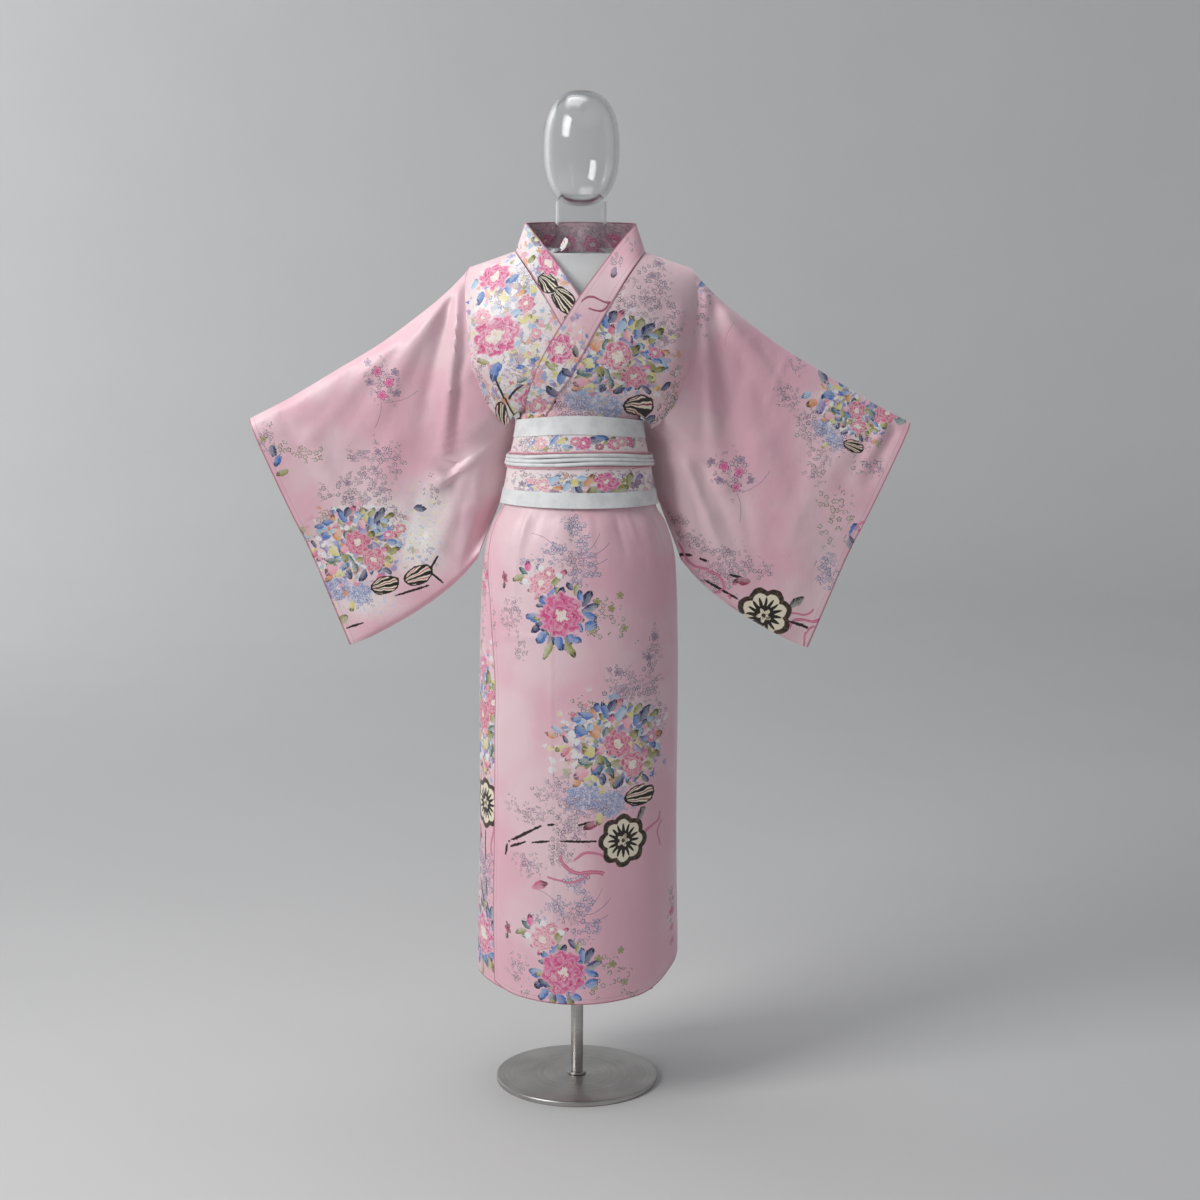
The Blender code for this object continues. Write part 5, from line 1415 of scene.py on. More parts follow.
def printed_cloth(name, base, roughness=0.40, sheen=0.25, wrinkle=0.5):
    made, f, shader = new_material(name)
    cloth = f.node("ShaderNodeUVMap", uv_map="Cloth").outputs[0]
    fine = f.noise(cloth, 420.0, 2.0, 0.6, "2D")
    brush = f.noise(cloth, 130.0, 3.0, 0.6, "2D")
    rough = f.times_plus(fine, 0.4, f.times(brush, 0.6))
    colour = printed_ground(f, cloth, base, brush)
    for field, ink, size, seed in FLORETS:
        colour = florets(f, cloth, colour, f.attribute(field), linear(ink), size, seed)
    colour = dabs(f, cloth, colour, f.attribute("dabs"), LARGE_DAB, 2.2)
    colour = dabs(f, cloth, colour, f.times(f.attribute("dabs"), 0.60), SMALL_DAB, 6.1)
    wobble = f.noise(cloth, 62.0, 3.0, dimensions="2D", output="Color")
    sway = f.vectors("SUBTRACT", wobble, (0.5, 0.5, 0.5))
    for layer in LAYERS:
        drawn = f.node("ShaderNodeGroup", node_tree=INK_GROUPS[layer.split("_")[0]])
        colour = f.feed(
            drawn, Place=f.attribute(layer, "Vector"), Ink=f.attribute(layer + "_ink", "Color"),
            Paleness=f.attribute(layer + "_ink", "Alpha"), Rough=rough, Under=colour, Sway=sway,
        )["Colour"]
    edge = f.attribute("edge")
    stitches = f.ramp(edge, STITCH_FADE, STITCH_TO, 1.0, 0.0)
    stitches = f.times(f.ramp(edge, STITCH_FROM, STITCH_FULL), stitches)
    colour = f.mix(f.times(stitches, 0.35), colour, STITCH_INK)
    # Deep rose right at each free edge: partly the edge's piping, partly painted shadow where the edge
    # lifts.
    colour = f.mix(f.ramp(edge, EDGE_SHADOW_FULL, EDGE_SHADOW_TO, 0.65, 0.0), colour, EDGE_SHADOW_AND_PIPING)
    satin_finish(f, shader, colour, roughness, sheen, wrinkle)
    return made


def plain_cloth(name, base, shade, roughness=0.45):
    made, f, shader = new_material(name)
    mottle = f.noise(f.object_place(), 40.0, 4.0, 0.6)
    colour = f.mix(f.ramp(mottle, 0.35, 0.70), base, shade)
    satin_finish(f, shader, colour, roughness, sheen=0.2, wrinkle=0.5)
    return made


kimono_satin = printed_cloth("kimono satin", SATIN_PINK)
reverse_satin = plain_cloth("reverse of the satin", REVERSE_PINK, linear((0.90, 0.74, 0.78)), 0.5)
obi_satin = printed_cloth("obi satin", linear((0.95, 0.86, 0.88)), 0.42, 0.25, 0.35)
white_satin = plain_cloth("white satin", linear((0.93, 0.94, 0.94)), linear((0.86, 0.87, 0.88)))
piping_satin = plain_cloth("rose piping", linear((0.85, 0.55, 0.62)), linear((0.93, 0.70, 0.75)))
print("kimono satin nodes:", len(kimono_satin.node_tree.nodes))

# %% [markdown]
# ## Making the cloth pieces
# Each panel becomes one thin solid: a sheet from its grid, thickened outwards. The outside shows the
# print and the inside its pale reverse. Every piece is tied to the form's root, and the solid that it
# stands for is hidden.

# %% Helpers that build a thin cloth
CLOTH_WALL = 0.0012
SHARP_EDGE = math.radians(45)


def quads_of(index, flip):
    """Four corners for each cell of a grid of point numbers."""
    quads = np.stack([index[:-1, :-1], index[:-1, 1:], index[1:, 1:], index[1:, :-1]], axis=-1)
    return (quads[..., ::-1] if flip else quads).reshape(-1, 4)


def grid_faces(rows, columns, flip):
    return quads_of(np.arange(rows * columns).reshape(rows, columns), flip)


def lengths(points, axis):
    """Distances along a grid's rows or columns from its first line."""
    steps = np.linalg.norm(np.diff(points, axis=axis), axis=2)
    total = np.cumsum(steps, axis=axis)
    first = np.zeros_like(total[:, :1] if axis else total[:1])
    return np.concatenate([first, total], axis=axis)


def select_only(piece):
    bpy.ops.object.select_all(action="DESELECT")
    piece.select_set(True)
    bpy.context.view_layer.objects.active = piece


def cloth_object(
    name, points, faces, flat, edge, printed, inks, wall=CLOTH_WALL, offset=1.0, reverse=None
):
    """A thickened sheet of cloth with its print written into it."""
    mesh = bpy.data.meshes.new(name)
    mesh.from_pydata(points.tolist(), [], faces.tolist())
    store(mesh, "edge", "FLOAT", "POINT", "value", edge)
    if inks:
        write_print(mesh, flat, *inks)
    mesh.shade_smooth()
    made = new_object(name, mesh)
    mesh.materials.append(printed)
    mesh.materials.append(reverse or printed)
    solid = made.modifiers.new("Wall", "SOLIDIFY")
    solid.thickness = wall
    solid.offset = offset
    solid.use_quality_normals = True
    solid.material_offset = 1
    select_only(made)
    bpy.ops.object.modifier_apply(modifier="Wall")
    bpy.ops.object.shade_smooth_by_angle(angle=SHARP_EDGE)
    return made


def settle(piece, node):
    """Ties a finished piece to the body's root and hides the solid that it stands for."""
    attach(piece, "root")
    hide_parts(node)
    area = sum(face.area for face in piece.data.polygons) / 2
    print(piece.name, len(piece.data.polygons), "faces,", round(area, 3), "square metres a side")


print("cloth wall:", CLOTH_WALL * 1000, "mm")

# %% [markdown]
# ## Panels of the body
# The left half laps over the right one, so its front carries the big bouquets of the skirt. The right
# half is seen on the wearer's right breast, where the print is dense, and as a narrow strip beside
# the overlap. Behind, the same arrangements are placed upright on both sides of the centre seam.

# %% Flat places, and motifs placed where they are seen
def body_flat(side, points):
    """Across from the centre line; along from the hem over the shoulder to the back hem."""
    along = lengths(points, 0)[:, points.shape[1] // 2]
    level = spread(HEM_HEIGHT, CHEST_HEIGHT)
    chest = len(level) - 1
    rows = np.concatenate([level, CHEST_HEIGHT + along[chest + 1:] - along[chest]])
    s = side * (side * points[:, :1, 0] + lengths(points, 1))
    return np.stack([s, np.broadcast_to(rows[:, None], s.shape)], axis=-1)


def overlap_flat(side, points):
    across = lengths(points, 1)
    s = side * (side * points[:, -1:, 0] - across[:, -1:] + across)
    rows = spread(HEM_HEIGHT, OKUMI_TOP)
    return np.stack([s, np.broadcast_to(rows[:, None], s.shape)], axis=-1)


def arranged(rows, points, flat):
    """Whole arrangements, each placed where it is seen from the front."""
    return [laid_out(name, flat_at(points, flat, (x, z)), turn) for name, x, z, turn in rows]


def loose(motifs, fields, points, flat):
    """Single motifs and fields: seen places in metres, their own sizes in millimetres."""
    placed = [
        (*flat_at(points, flat, (x, z)), long * MM, wide * MM, turn, kind, ink)
        for x, z, long, wide, turn, kind, ink in motifs
    ]
    washes = [
        (*flat_at(points, flat, (x, z)), a * MM, b * MM, 0.0, kind, amount)
        for x, z, a, b, kind, amount in fields
    ]
    return placed, washes


print("rows along a flat body panel:", len(body_flat(1, body_panel(1, True)[0])))

# %% [markdown]
# ## The panels' own print
# The big arrangements come first. The single motifs between them were placed one by one, each where
# the picture shows one, and the fields say where florets, washes and dabs fill the ground.

# %% Print tables of the panels
OVER_FRONT = (
    ("peony", -0.027, 0.906, 0.0), ("peony", -0.024, 0.257, 0.0), ("bouquet", 0.073, 0.672, 0.0),
    ("wheel", 0.084, 0.497, 0.0), ("bouquet", 0.068, 1.354, 0.0),
)
OVER_SINGLE = (
    (0.120, 1.235, 12, 7, 20, "leaf", "navy"), (0.150, 1.300, 12, 7, 40, "leaf", "navy"),
    (0.165, 1.262, 8, 6, 40, "bud", "olive"), (0.158, 1.395, 8, 7, 40, "bud", "mauve"),
    (0.172, 0.345, 12, 10, 90, "bud", "magenta"), (0.170, 0.315, 10, 9, 60, "bud", "rose"),
    (0.172, 0.290, 10, 9, 0, "bud", "magenta"),
)
OVER_FIELDS = (
    (0.144, 1.478, 18, 30, "mauve", 0.75), (0.118, 1.440, 30, 30, "mauve", 0.55),
    (0.165, 1.420, 16, 34, "mauve", 0.6), (0.095, 1.415, 34, 18, "wash", 0.45),
    (0.163, 1.300, 16, 50, "olive", 0.7), (0.150, 1.245, 22, 30, "mauve", 0.7),
    (0.170, 0.360, 10, 40, "mauve", 0.6), (0.020, 1.270, 40, 22, "wash", 0.5),
    (0.000, 1.260, 40, 18, "mauve", 0.9), (-0.150, 0.860, 10, 60, "mauve", 0.25),
    (0.030, 1.300, 26, 26, "wash", 0.5),
)
UNDER_FRONT = (
    ("bouquet", -0.172, 0.705, 90.0), ("wheel", -0.166, 0.545, 90.0), ("peony", -0.170, 0.300, 20.0),
    ("buds", -0.168, 0.960, 0.0),
)
UNDER_SINGLE = (
    (-0.150, 1.489, 32, 30, 0, "bloom", "magenta"), (-0.146, 1.386, 50, 42, 30, "bloom", "magenta"),
    (-0.170, 1.420, 18, 18, 30, "bloom", "blush"), (-0.092, 1.446, 18, 16, 30, "bloom", "rose"),
    (-0.084, 1.272, 30, 28, 80, "bloom", "magenta"), (-0.069, 1.322, 17, 16, 0, "bloom", "rose"),
    (-0.074, 1.395, 12, 11, 0, "bloom", "blush"), (-0.150, 1.330, 12, 7, 90, "leaf", "olive"),
    (-0.117, 1.486, 14, 8, 200, "leaf", "blue"), (-0.127, 1.470, 12, 7, 120, "leaf", "blue"),
    (-0.174, 1.455, 16, 9, 250, "leaf", "blue"), (-0.184, 1.475, 12, 8, 60, "leaf", "sky"),
    (-0.112, 1.397, 15, 7, 60, "leaf", "teal"), (-0.148, 1.334, 20, 13, 250, "leaf", "blue"),
    (-0.168, 1.342, 15, 8, 170, "leaf", "olive"), (-0.062, 1.288, 20, 11, 300, "leaf", "navy"),
    (-0.058, 1.304, 16, 9, 60, "leaf", "blue"), (-0.100, 1.315, 12, 7, 210, "leaf", "teal"),
    (-0.040, 1.330, 14, 8, 250, "leaf", "blue"), (-0.110, 1.430, 12, 7, 20, "leaf", "sky"),
    (-0.130, 1.450, 12, 7, 330, "leaf", "yellow"), (-0.090, 1.420, 12, 6, 40, "leaf", "yellow"),
    (-0.122, 1.420, 10, 6, 300, "leaf", "blush"), (-0.100, 1.465, 10, 6, 10, "leaf", "orange"),
    (-0.140, 1.300, 34, 4, 290, "line", "black"), (-0.126, 1.262, 28, 4, 278, "line", "black"),
    (-0.112, 1.290, 24, 4, 35, "line", "black"), (-0.134, 1.240, 22, 12, 20, "shell", "crimson"),
    (-0.108, 1.250, 16, 6, 60, "leaf", "black"), (-0.170, 0.800, 20, 18, 0, "bloom", "magenta"),
    (-0.174, 0.830, 12, 7, 60, "leaf", "olive"), (-0.163, 0.775, 12, 7, 120, "leaf", "teal"),
    (-0.172, 0.270, 14, 12, 0, "bud", "magenta"), (-0.160, 0.250, 12, 7, 80, "leaf", "olive"),
)
UNDER_FIELDS = (
    (-0.120, 1.430, 90, 100, "dabs", 0.62), (-0.090, 1.380, 60, 70, "dabs", 0.85),
    (-0.110, 1.280, 60, 60, "dabs", 0.85), (-0.160, 0.700, 30, 120, "dabs", 0.8),
    (-0.120, 1.440, 110, 110, "wash", 0.95), (-0.100, 1.350, 90, 80, "wash", 0.95),
    (-0.110, 1.270, 80, 60, "wash", 0.90), (-0.098, 1.345, 26, 50, "mauve", 0.85),
    (-0.110, 1.470, 60, 40, "lilac", 0.35), (-0.150, 1.270, 30, 30, "mauve", 0.7),
    (-0.178, 1.330, 14, 40, "mauve", 0.6), (-0.170, 0.900, 12, 80, "mauve", 0.5),
    (-0.170, 0.400, 12, 60, "mauve", 0.8), (-0.170, 0.700, 14, 150, "wash", 0.45),
    (-0.170, 0.700, 14, 120, "olive", 0.35), (-0.170, 0.300, 12, 50, "olive", 0.6),
)
BACK_ARRANGED = (
    ("peony", 0.090, 0.960, False), ("bouquet", 0.070, 0.640, True), ("wheel", 0.105, 0.440, True),
    ("buds", 0.085, 0.330, False), ("bouquet", 0.100, 1.360, True), ("buds", 0.060, 1.500, False),
)
PANEL_PRINTS = {
    1: (OVER_FRONT, OVER_SINGLE, OVER_FIELDS),
    -1: (UNDER_FRONT, UNDER_SINGLE, UNDER_FIELDS),
}
print("single motifs in front:", len(OVER_SINGLE), "over,", len(UNDER_SINGLE), "under")

# %% [markdown]
# ## Sewing the panels together
# The print of a front is laid on the body panel and on its overlap panel at once, so that a bouquet
# runs on over the seam between them. The back gets its arrangements upside down in the flat cloth,
# because the same length of cloth comes down behind.


def back_inks(side, points, flat):
    """Upright arrangements on the back, placed as seen from behind."""
    parts = []
    for name, x, z, mirrored in BACK_ARRANGED:
        centre = flat_at(points, flat, (side * x, z))
        parts.append(laid_out(name, centre, 180.0, 1.0, mirrored == (side > 0)))
    return gathered(*parts)


for side, word in ((1, "left"), (-1, "right")):
    points, front_rows = body_panel(side, side > 0)
    flat = body_flat(side, points)
    overlap = overlap_panel(side, side > 0)
    flat_overlap = overlap_flat(side, overlap)
    seen = np.concatenate([points[:front_rows].reshape(-1, 3), overlap.reshape(-1, 3)])
    seen_flat = np.concatenate([flat[:front_rows].reshape(-1, 2), flat_overlap.reshape(-1, 2)])
    arrangements, motifs, fields = PANEL_PRINTS[side]
    inks = gathered(*arranged(arrangements, seen, seen_flat), loose(motifs, fields, seen, seen_flat))
    behind, behind_flat = points[front_rows:].reshape(-1, 3), flat[front_rows:].reshape(-1, 2)
    hem = np.minimum(lengths(points, 0), lengths(points[::-1], 0)[::-1])
    body = cloth_object(
        f"body_{word}_cloth", points.reshape(-1, 3), grid_faces(*points.shape[:2], side < 0),
        flat.reshape(-1, 2), hem, kimono_satin,
        gathered(inks, back_inks(side, behind, behind_flat)), reverse=reverse_satin,
    )
    settle(body, f"body_{word}")
    free_edge = np.minimum(lengths(overlap, 0), lengths(overlap, 1))
    panel = cloth_object(
        f"okumi_{word}_cloth", overlap.reshape(-1, 3), grid_faces(*overlap.shape[:2], side < 0),
        flat_overlap.reshape(-1, 2), free_edge, kimono_satin, inks, reverse=reverse_satin,
    )
    settle(panel, f"okumi_{word}")

# %% [markdown]
# ## Sleeves
# A sleeve's front and back share their top, bottom and lower cuff, so the two grids join there into
# one bag. On the wearer's right the bouquet sits low near the cuff; on the left the bouquet is up at
# the arm, and the wheel with its cord near the bottom.

# %% Print tables of the sleeves
RIGHT_SLEEVE = (("bouquet", -0.398, 1.012, 8.0, 0.86), ("buds", -0.350, 1.300, 0.0, 1.05))
LEFT_SLEEVE = (
    ("wheel", 0.334, 0.884, -30.0, 1.12), ("buds", 0.273, 1.138, 20.0, 1.1),
    ("bouquet", 0.492, 1.256, -28.0, 0.60),
)
RIGHT_SINGLE = (
    (-0.289, 0.954, 30, 18, 25, "shell", "cord"), (-0.262, 0.975, 20, 4, 60, "line", "black"),
    (-0.300, 0.925, 34, 4, 18, "line", "black"), (-0.256, 0.950, 16, 4, 320, "line", "black"),
    (-0.547, 1.175, 14, 8, 280, "leaf", "navy"), (-0.540, 1.160, 12, 7, 250, "leaf", "blue"),
    (-0.530, 1.140, 12, 7, 200, "leaf", "olive"), (-0.430, 0.870, 14, 8, 40, "leaf", "olive"),
    (-0.405, 0.858, 18, 4, 20, "line", "black"), (-0.560, 1.200, 8, 7, 0, "bud", "olive"),
    (-0.320, 1.040, 12, 10, 0, "bloom", "rose"), (-0.285, 1.075, 12, 9, 0, "leaf", "navy"),
)
RIGHT_FIELDS = (
    (-0.484, 1.172, 24, 16, "olive", 0.75), (-0.530, 1.180, 16, 22, "olive", 0.7),
    (-0.341, 1.158, 24, 26, "mauve", 0.7), (-0.393, 1.167, 24, 16, "mauve", 0.7),
    (-0.377, 1.130, 34, 14, "mauve", 0.6), (-0.456, 1.104, 20, 14, "mauve", 0.7),
    (-0.260, 1.110, 14, 26, "mauve", 0.5), (-0.290, 1.020, 50, 60, "wash", 1.0),
    (-0.270, 1.080, 40, 40, "wash", 0.7), (-0.350, 1.060, 60, 40, "wash", 0.65),
    (-0.380, 0.900, 60, 28, "wash", 0.7), (-0.290, 0.990, 34, 24, "hydrangea", 0.35),
    (-0.556, 1.205, 12, 24, "mauve", 0.6),
)
LEFT_SINGLE = (
    (0.545, 1.252, 26, 20, 0, "bloom", "rose"), (0.507, 1.230, 20, 14, 330, "leaf", "yellow"),
    (0.475, 1.252, 24, 12, 10, "leaf", "blue"), (0.441, 1.282, 16, 11, 200, "leaf", "blue"),
    (0.430, 1.314, 15, 9, 300, "leaf", "navy"), (0.412, 1.267, 11, 9, 200, "leaf", "orange"),
    (0.427, 1.263, 16, 10, 250, "leaf", "purple"), (0.450, 1.257, 12, 9, 200, "leaf", "olive"),
    (0.462, 1.290, 14, 8, 330, "leaf", "yellow"), (0.520, 1.247, 12, 7, 290, "leaf", "teal"),
    (0.490, 1.262, 15, 8, 330, "leaf", "olive"), (0.405, 1.283, 10, 7, 200, "leaf", "sky"),
    (0.495, 1.245, 15, 8, 300, "leaf", "sky"), (0.540, 1.232, 10, 7, 290, "leaf", "olive"),
    (0.572, 1.238, 12, 9, 0, "leaf", "teal"), (0.490, 1.026, 17, 11, 300, "leaf", "navy"),
    (0.492, 1.046, 14, 9, 60, "leaf", "blue"), (0.508, 1.050, 14, 12, 30, "bloom", "magenta"),
    (0.228, 1.490, 10, 6, 30, "leaf", "blue"), (0.262, 1.392, 24, 6, 250, "grass", "mauve"),
    (0.400, 0.865, 22, 5, 340, "line", "black"), (0.205, 0.985, 40, 12, 325, "cord", "cord"),
    (0.254, 0.945, 36, 12, 320, "cord", "cord"), (0.250, 0.928, 38, 10, 8, "cord", "cord"),
    (0.400, 0.890, 26, 10, 20, "cord", "cord"),
)
LEFT_FIELDS = (
    (0.364, 1.282, 20, 18, "mauve", 0.75), (0.413, 1.216, 24, 16, "mauve", 0.75),
    (0.422, 1.161, 18, 30, "mauve", 0.75), (0.518, 1.152, 24, 16, "mauve", 0.6),
    (0.470, 1.200, 50, 22, "mauve", 0.5), (0.456, 1.100, 22, 20, "olive", 0.8),
    (0.464, 1.060, 26, 22, "olive", 0.8), (0.440, 1.040, 22, 14, "olive", 0.5),
    (0.445, 0.968, 16, 34, "lilac", 1.0), (0.460, 1.270, 60, 26, "wash", 0.6),
    (0.500, 1.235, 50, 24, "wash", 0.6), (0.384, 1.340, 14, 18, "mauve", 0.6),
    (0.235, 1.478, 16, 12, "lilac", 0.7), (0.210, 1.430, 14, 40, "mauve", 0.4),
)

print("single motifs on the sleeves:", len(LEFT_SINGLE), "left,", len(RIGHT_SINGLE), "right")

# %% [markdown]
# Points that front and back share get one number, so the two sheets are truly joined there. The flat
# place of a sleeve is simply its place as seen from the front, because a sleeve lies almost flat.

# %% Make the sleeves
for side, word, clusters, motifs, fields in (
    (1, "left", LEFT_SLEEVE, LEFT_SINGLE, LEFT_FIELDS),
    (-1, "right", RIGHT_SLEEVE, RIGHT_SINGLE, RIGHT_FIELDS),
):
    front, back, sewn_cuff = sleeve_grids(side, side > 0)
    columns, rows = front.shape[:2]
    shared = np.zeros((columns, rows), bool)
    shared[:, (0, -1)] = True
    shared[-1] |= sewn_cuff
    front[shared, 1] = 0.0
    index = np.arange(columns * rows).reshape(columns, rows)
    behind = np.where(shared, index, index + columns * rows)
    faces = np.concatenate([quads_of(index, side < 0), quads_of(behind, side > 0)])
    used, faces = np.unique(faces, return_inverse=True)
    faces = faces.reshape(-1, 4)
    points = np.concatenate([front.reshape(-1, 3), back.reshape(-1, 3)])[used]
    flat = points[:, (0, 2)]
    cuff_line = np.concatenate([np.broadcast_to(front[-1], front.shape)] * 2).reshape(-1, 3)[used]
    from_cuff = np.linalg.norm(points - cuff_line, axis=1)
    parts = [laid_out(name, (x, z), turn, scale) for name, x, z, turn, scale in clusters]
    parts += [loose(motifs, fields, points, flat)]
    sleeve = cloth_object(
        f"sleeve_{word}_cloth", points, faces, flat, from_cuff, kimono_satin,
        gathered(*parts), reverse=reverse_satin,
    )
    settle(sleeve, f"sleeve_{word}")

# %% [markdown]
# ## Collar print
# The over collar is almost plain above, with thin dark pink loops, and dense below. The under collar
# has flowers and black and cream scrolls, and the part behind the neck carries deep pink flowers.
# The band is folded double, so it is thicker than a panel and printed on both sides.

# %% Make the collar
COLLAR_WALL = 0.0026
COLLAR_SINGLE = (
    (0.060, 1.500, 12, 8, 200, "leaf", "mauve"), (0.028, 1.450, 26, 10, 130, "cord", "crimson"),
    (0.034, 1.440, 22, 9, 140, "cord", "crimson"), (0.000, 1.408, 34, 22, 20, "shell", "black"),
    (-0.008, 1.368, 12, 8, 60, "leaf", "black"), (-0.036, 1.362, 30, 24, 0, "bloom", "magenta"),
    (-0.030, 1.318, 15, 9, 20, "leaf", "blue"), (-0.072, 1.270, 24, 18, 0, "bloom", "rose"),
    (-0.050, 1.296, 14, 8, 60, "leaf", "navy"), (-0.085, 1.235, 16, 9, 30, "leaf", "olive"),
    (-0.070, 1.240, 15, 9, 0, "leaf", "orange"), (-0.020, 1.329, 12, 7, 80, "leaf", "navy"),
    (-0.052, 1.340, 12, 7, 80, "leaf", "olive"), (-0.062, 1.350, 10, 6, 80, "leaf", "yellow"),
    (-0.058, 1.515, 27, 23, 0, "bloom", "magenta"), (-0.078, 1.548, 14, 8, 20, "leaf", "navy"),
    (-0.086, 1.520, 12, 7, 70, "leaf", "olive"), (-0.058, 1.482, 26, 17, 10, "shell", "black"),
    (-0.029, 1.452, 34, 18, 10, "shell", "black"), (-0.092, 1.575, 12, 7, 70, "leaf", "sky"),
    (-0.070, 1.560, 10, 6, 70, "leaf", "yellow"),
)
COLLAR_FIELDS = (
    (0.066, 1.520, 12, 16, "mauve", 0.7), (0.090, 1.545, 10, 14, "mauve", 0.3),
    (-0.060, 1.530, 90, 60, "wash", 1.0), (-0.060, 1.530, 80, 50, "dabs", 0.75),
    (-0.030, 1.365, 46, 50, "dabs", 1.0), (-0.065, 1.290, 60, 50, "dabs", 1.2),
    (-0.085, 1.230, 40, 50, "dabs", 1.2), (-0.060, 1.310, 90, 50, "wash", 0.8),
    (-0.030, 1.370, 60, 40, "wash", 0.4), (-0.050, 1.355, 20, 20, "mauve", 0.6),
)
NECK_BLOOMS = ((-60, 18, 18), (-20, 20, 20), (24, 18, 19), (62, 14, 14))
NECK_FIELD = 0.04

across = lengths(collar_points, 1)
along = lengths(collar_points, 0)[:, collar_points.shape[1] // 2]
middle = along[len(collar_half(1, True)) - 1]
flat = np.stack([np.broadcast_to((along - middle)[:, None], across.shape), across], axis=-1)
seen, seen_flat = collar_points.reshape(-1, 3), flat.reshape(-1, 2)
front_only = seen[:, 1] < 0.0
parts = [loose(COLLAR_SINGLE, COLLAR_FIELDS, seen[front_only], seen_flat[front_only])]
neck_height = float(np.mean(across[:, -1])) / 2
for place, long, wide in NECK_BLOOMS:
    parts.append(([(place * MM, neck_height, long * MM, wide * MM, place * 2.0, "bloom", "magenta")], []))
    parts.append(([], [(place * MM, neck_height, NECK_FIELD, NECK_FIELD, 0.0, "mauve", 0.8)]))
edge = np.minimum(across, across[:, -1:] - across)
collar = cloth_object(
    "collar_cloth", seen, grid_faces(*collar_points.shape[:2], False), seen_flat, edge,
    kimono_satin, gathered(*parts), wall=COLLAR_WALL, offset=0.0,
)
settle(collar, "collar")

# %% [markdown]
# ## Sash
# The obi is a ready-made one: a flowered band with a plain white band along its upper and lower edge,
# and round its middle three rolled white strands between two rose pipings. All of them follow the
# same level rings round the waist, each a little further out.

# %% Rings round the waist
OBI_WALL = 0.0025
OBI_CLEARANCE = 0.0009
OBI_COLLAR_ROOM = 0.0018
PANEL_WALL = 0.0015
PIECE_GAP = 0.0004
TRIM_WALL = 0.0013
BAND_TILT = 0.004
BAND_CELL, TRIM_CELL = 0.004, 0.0035
ON_BAND = OBI_WALL + PIECE_GAP
FLAT_RADIUS = 0.105
RIPPLE = 0.0003
STITCH_OFFSET = 0.004
OBI_STEPS = 240
AROUND = np.linspace(0, 2 * math.pi, OBI_STEPS, endpoint=False)
WRAPPED = (AROUND + math.pi) % (2 * math.pi) - math.pi


def obi_ring(height, lift, tilt=0.0):
    """Points round the waist, outside all the layers of cloth under them."""
    forward = np.cos(AROUND) > 0
    heights = height + tilt * np.sin(AROUND) * np.cos(AROUND) ** 2
    size = section(heights)
    depth = np.where(forward, size["front"], size["back"])
    over_lap = lap_lift(WRAPPED) * (1 + OBI_COLLAR_ROOM / OVER_LIFT)
    out = lift + PANEL_WALL + OBI_CLEARANCE + np.where(forward, over_lap, 0.0)
    raised = heights + waist_bow(height) * np.cos(AROUND) ** 2 * forward
    wide = (size["half_width"] + out) * np.sin(AROUND)
    return np.stack([wide, -(depth + out) * np.cos(AROUND), raised], axis=-1)


def closed_faces(rows, columns):
    """Faces of a sheet that runs all round and meets itself."""
    index = np.arange(rows * columns).reshape(rows, columns)
    ahead = np.roll(index, -1, axis=1)
    return np.stack([index[:-1], ahead[:-1], ahead[1:], index[1:]], axis=-1).reshape(-1, 4)


def band(name, heights, lift, wall, finish, inks=None):
    """A sheet round the waist, with a very low ripple so that it catches the light like cloth."""
    grid = np.array([obi_ring(height, lift) for height in heights])
    ripple = RIPPLE * np.sin(WRAPPED * 9 + np.sin(WRAPPED * 4) * 2)[None, :, None]
    middle = grid.mean(axis=1, keepdims=True) * (1, 1, 0)
    level = (grid - middle) * (1, 1, 0)
    grid = grid + ripple * level / np.linalg.norm(level, axis=2, keepdims=True)
    z = grid[..., 2]
    flat = np.stack([np.broadcast_to(WRAPPED * FLAT_RADIUS, z.shape), z], axis=-1)
    from_edge = np.minimum(z - z[:1], z[-1:] - z) - STITCH_OFFSET
    return cloth_object(
        name, grid.reshape(-1, 3), closed_faces(*z.shape), flat.reshape(-1, 2),
        from_edge, finish, inks, wall=wall,
    )


waist = obi_ring((OBI_BOTTOM + OBI_TOP) / 2, 0.0)
print("waist at the obi's middle:", round(float(np.ptp(waist[:, 0])), 3), "m wide")

# %% [markdown]
# The band's print is given as lengths round the waist from the centre front, in millimetres, and as
# heights. The same flowers come again twice behind, a little lower, as on one long strip of cloth.

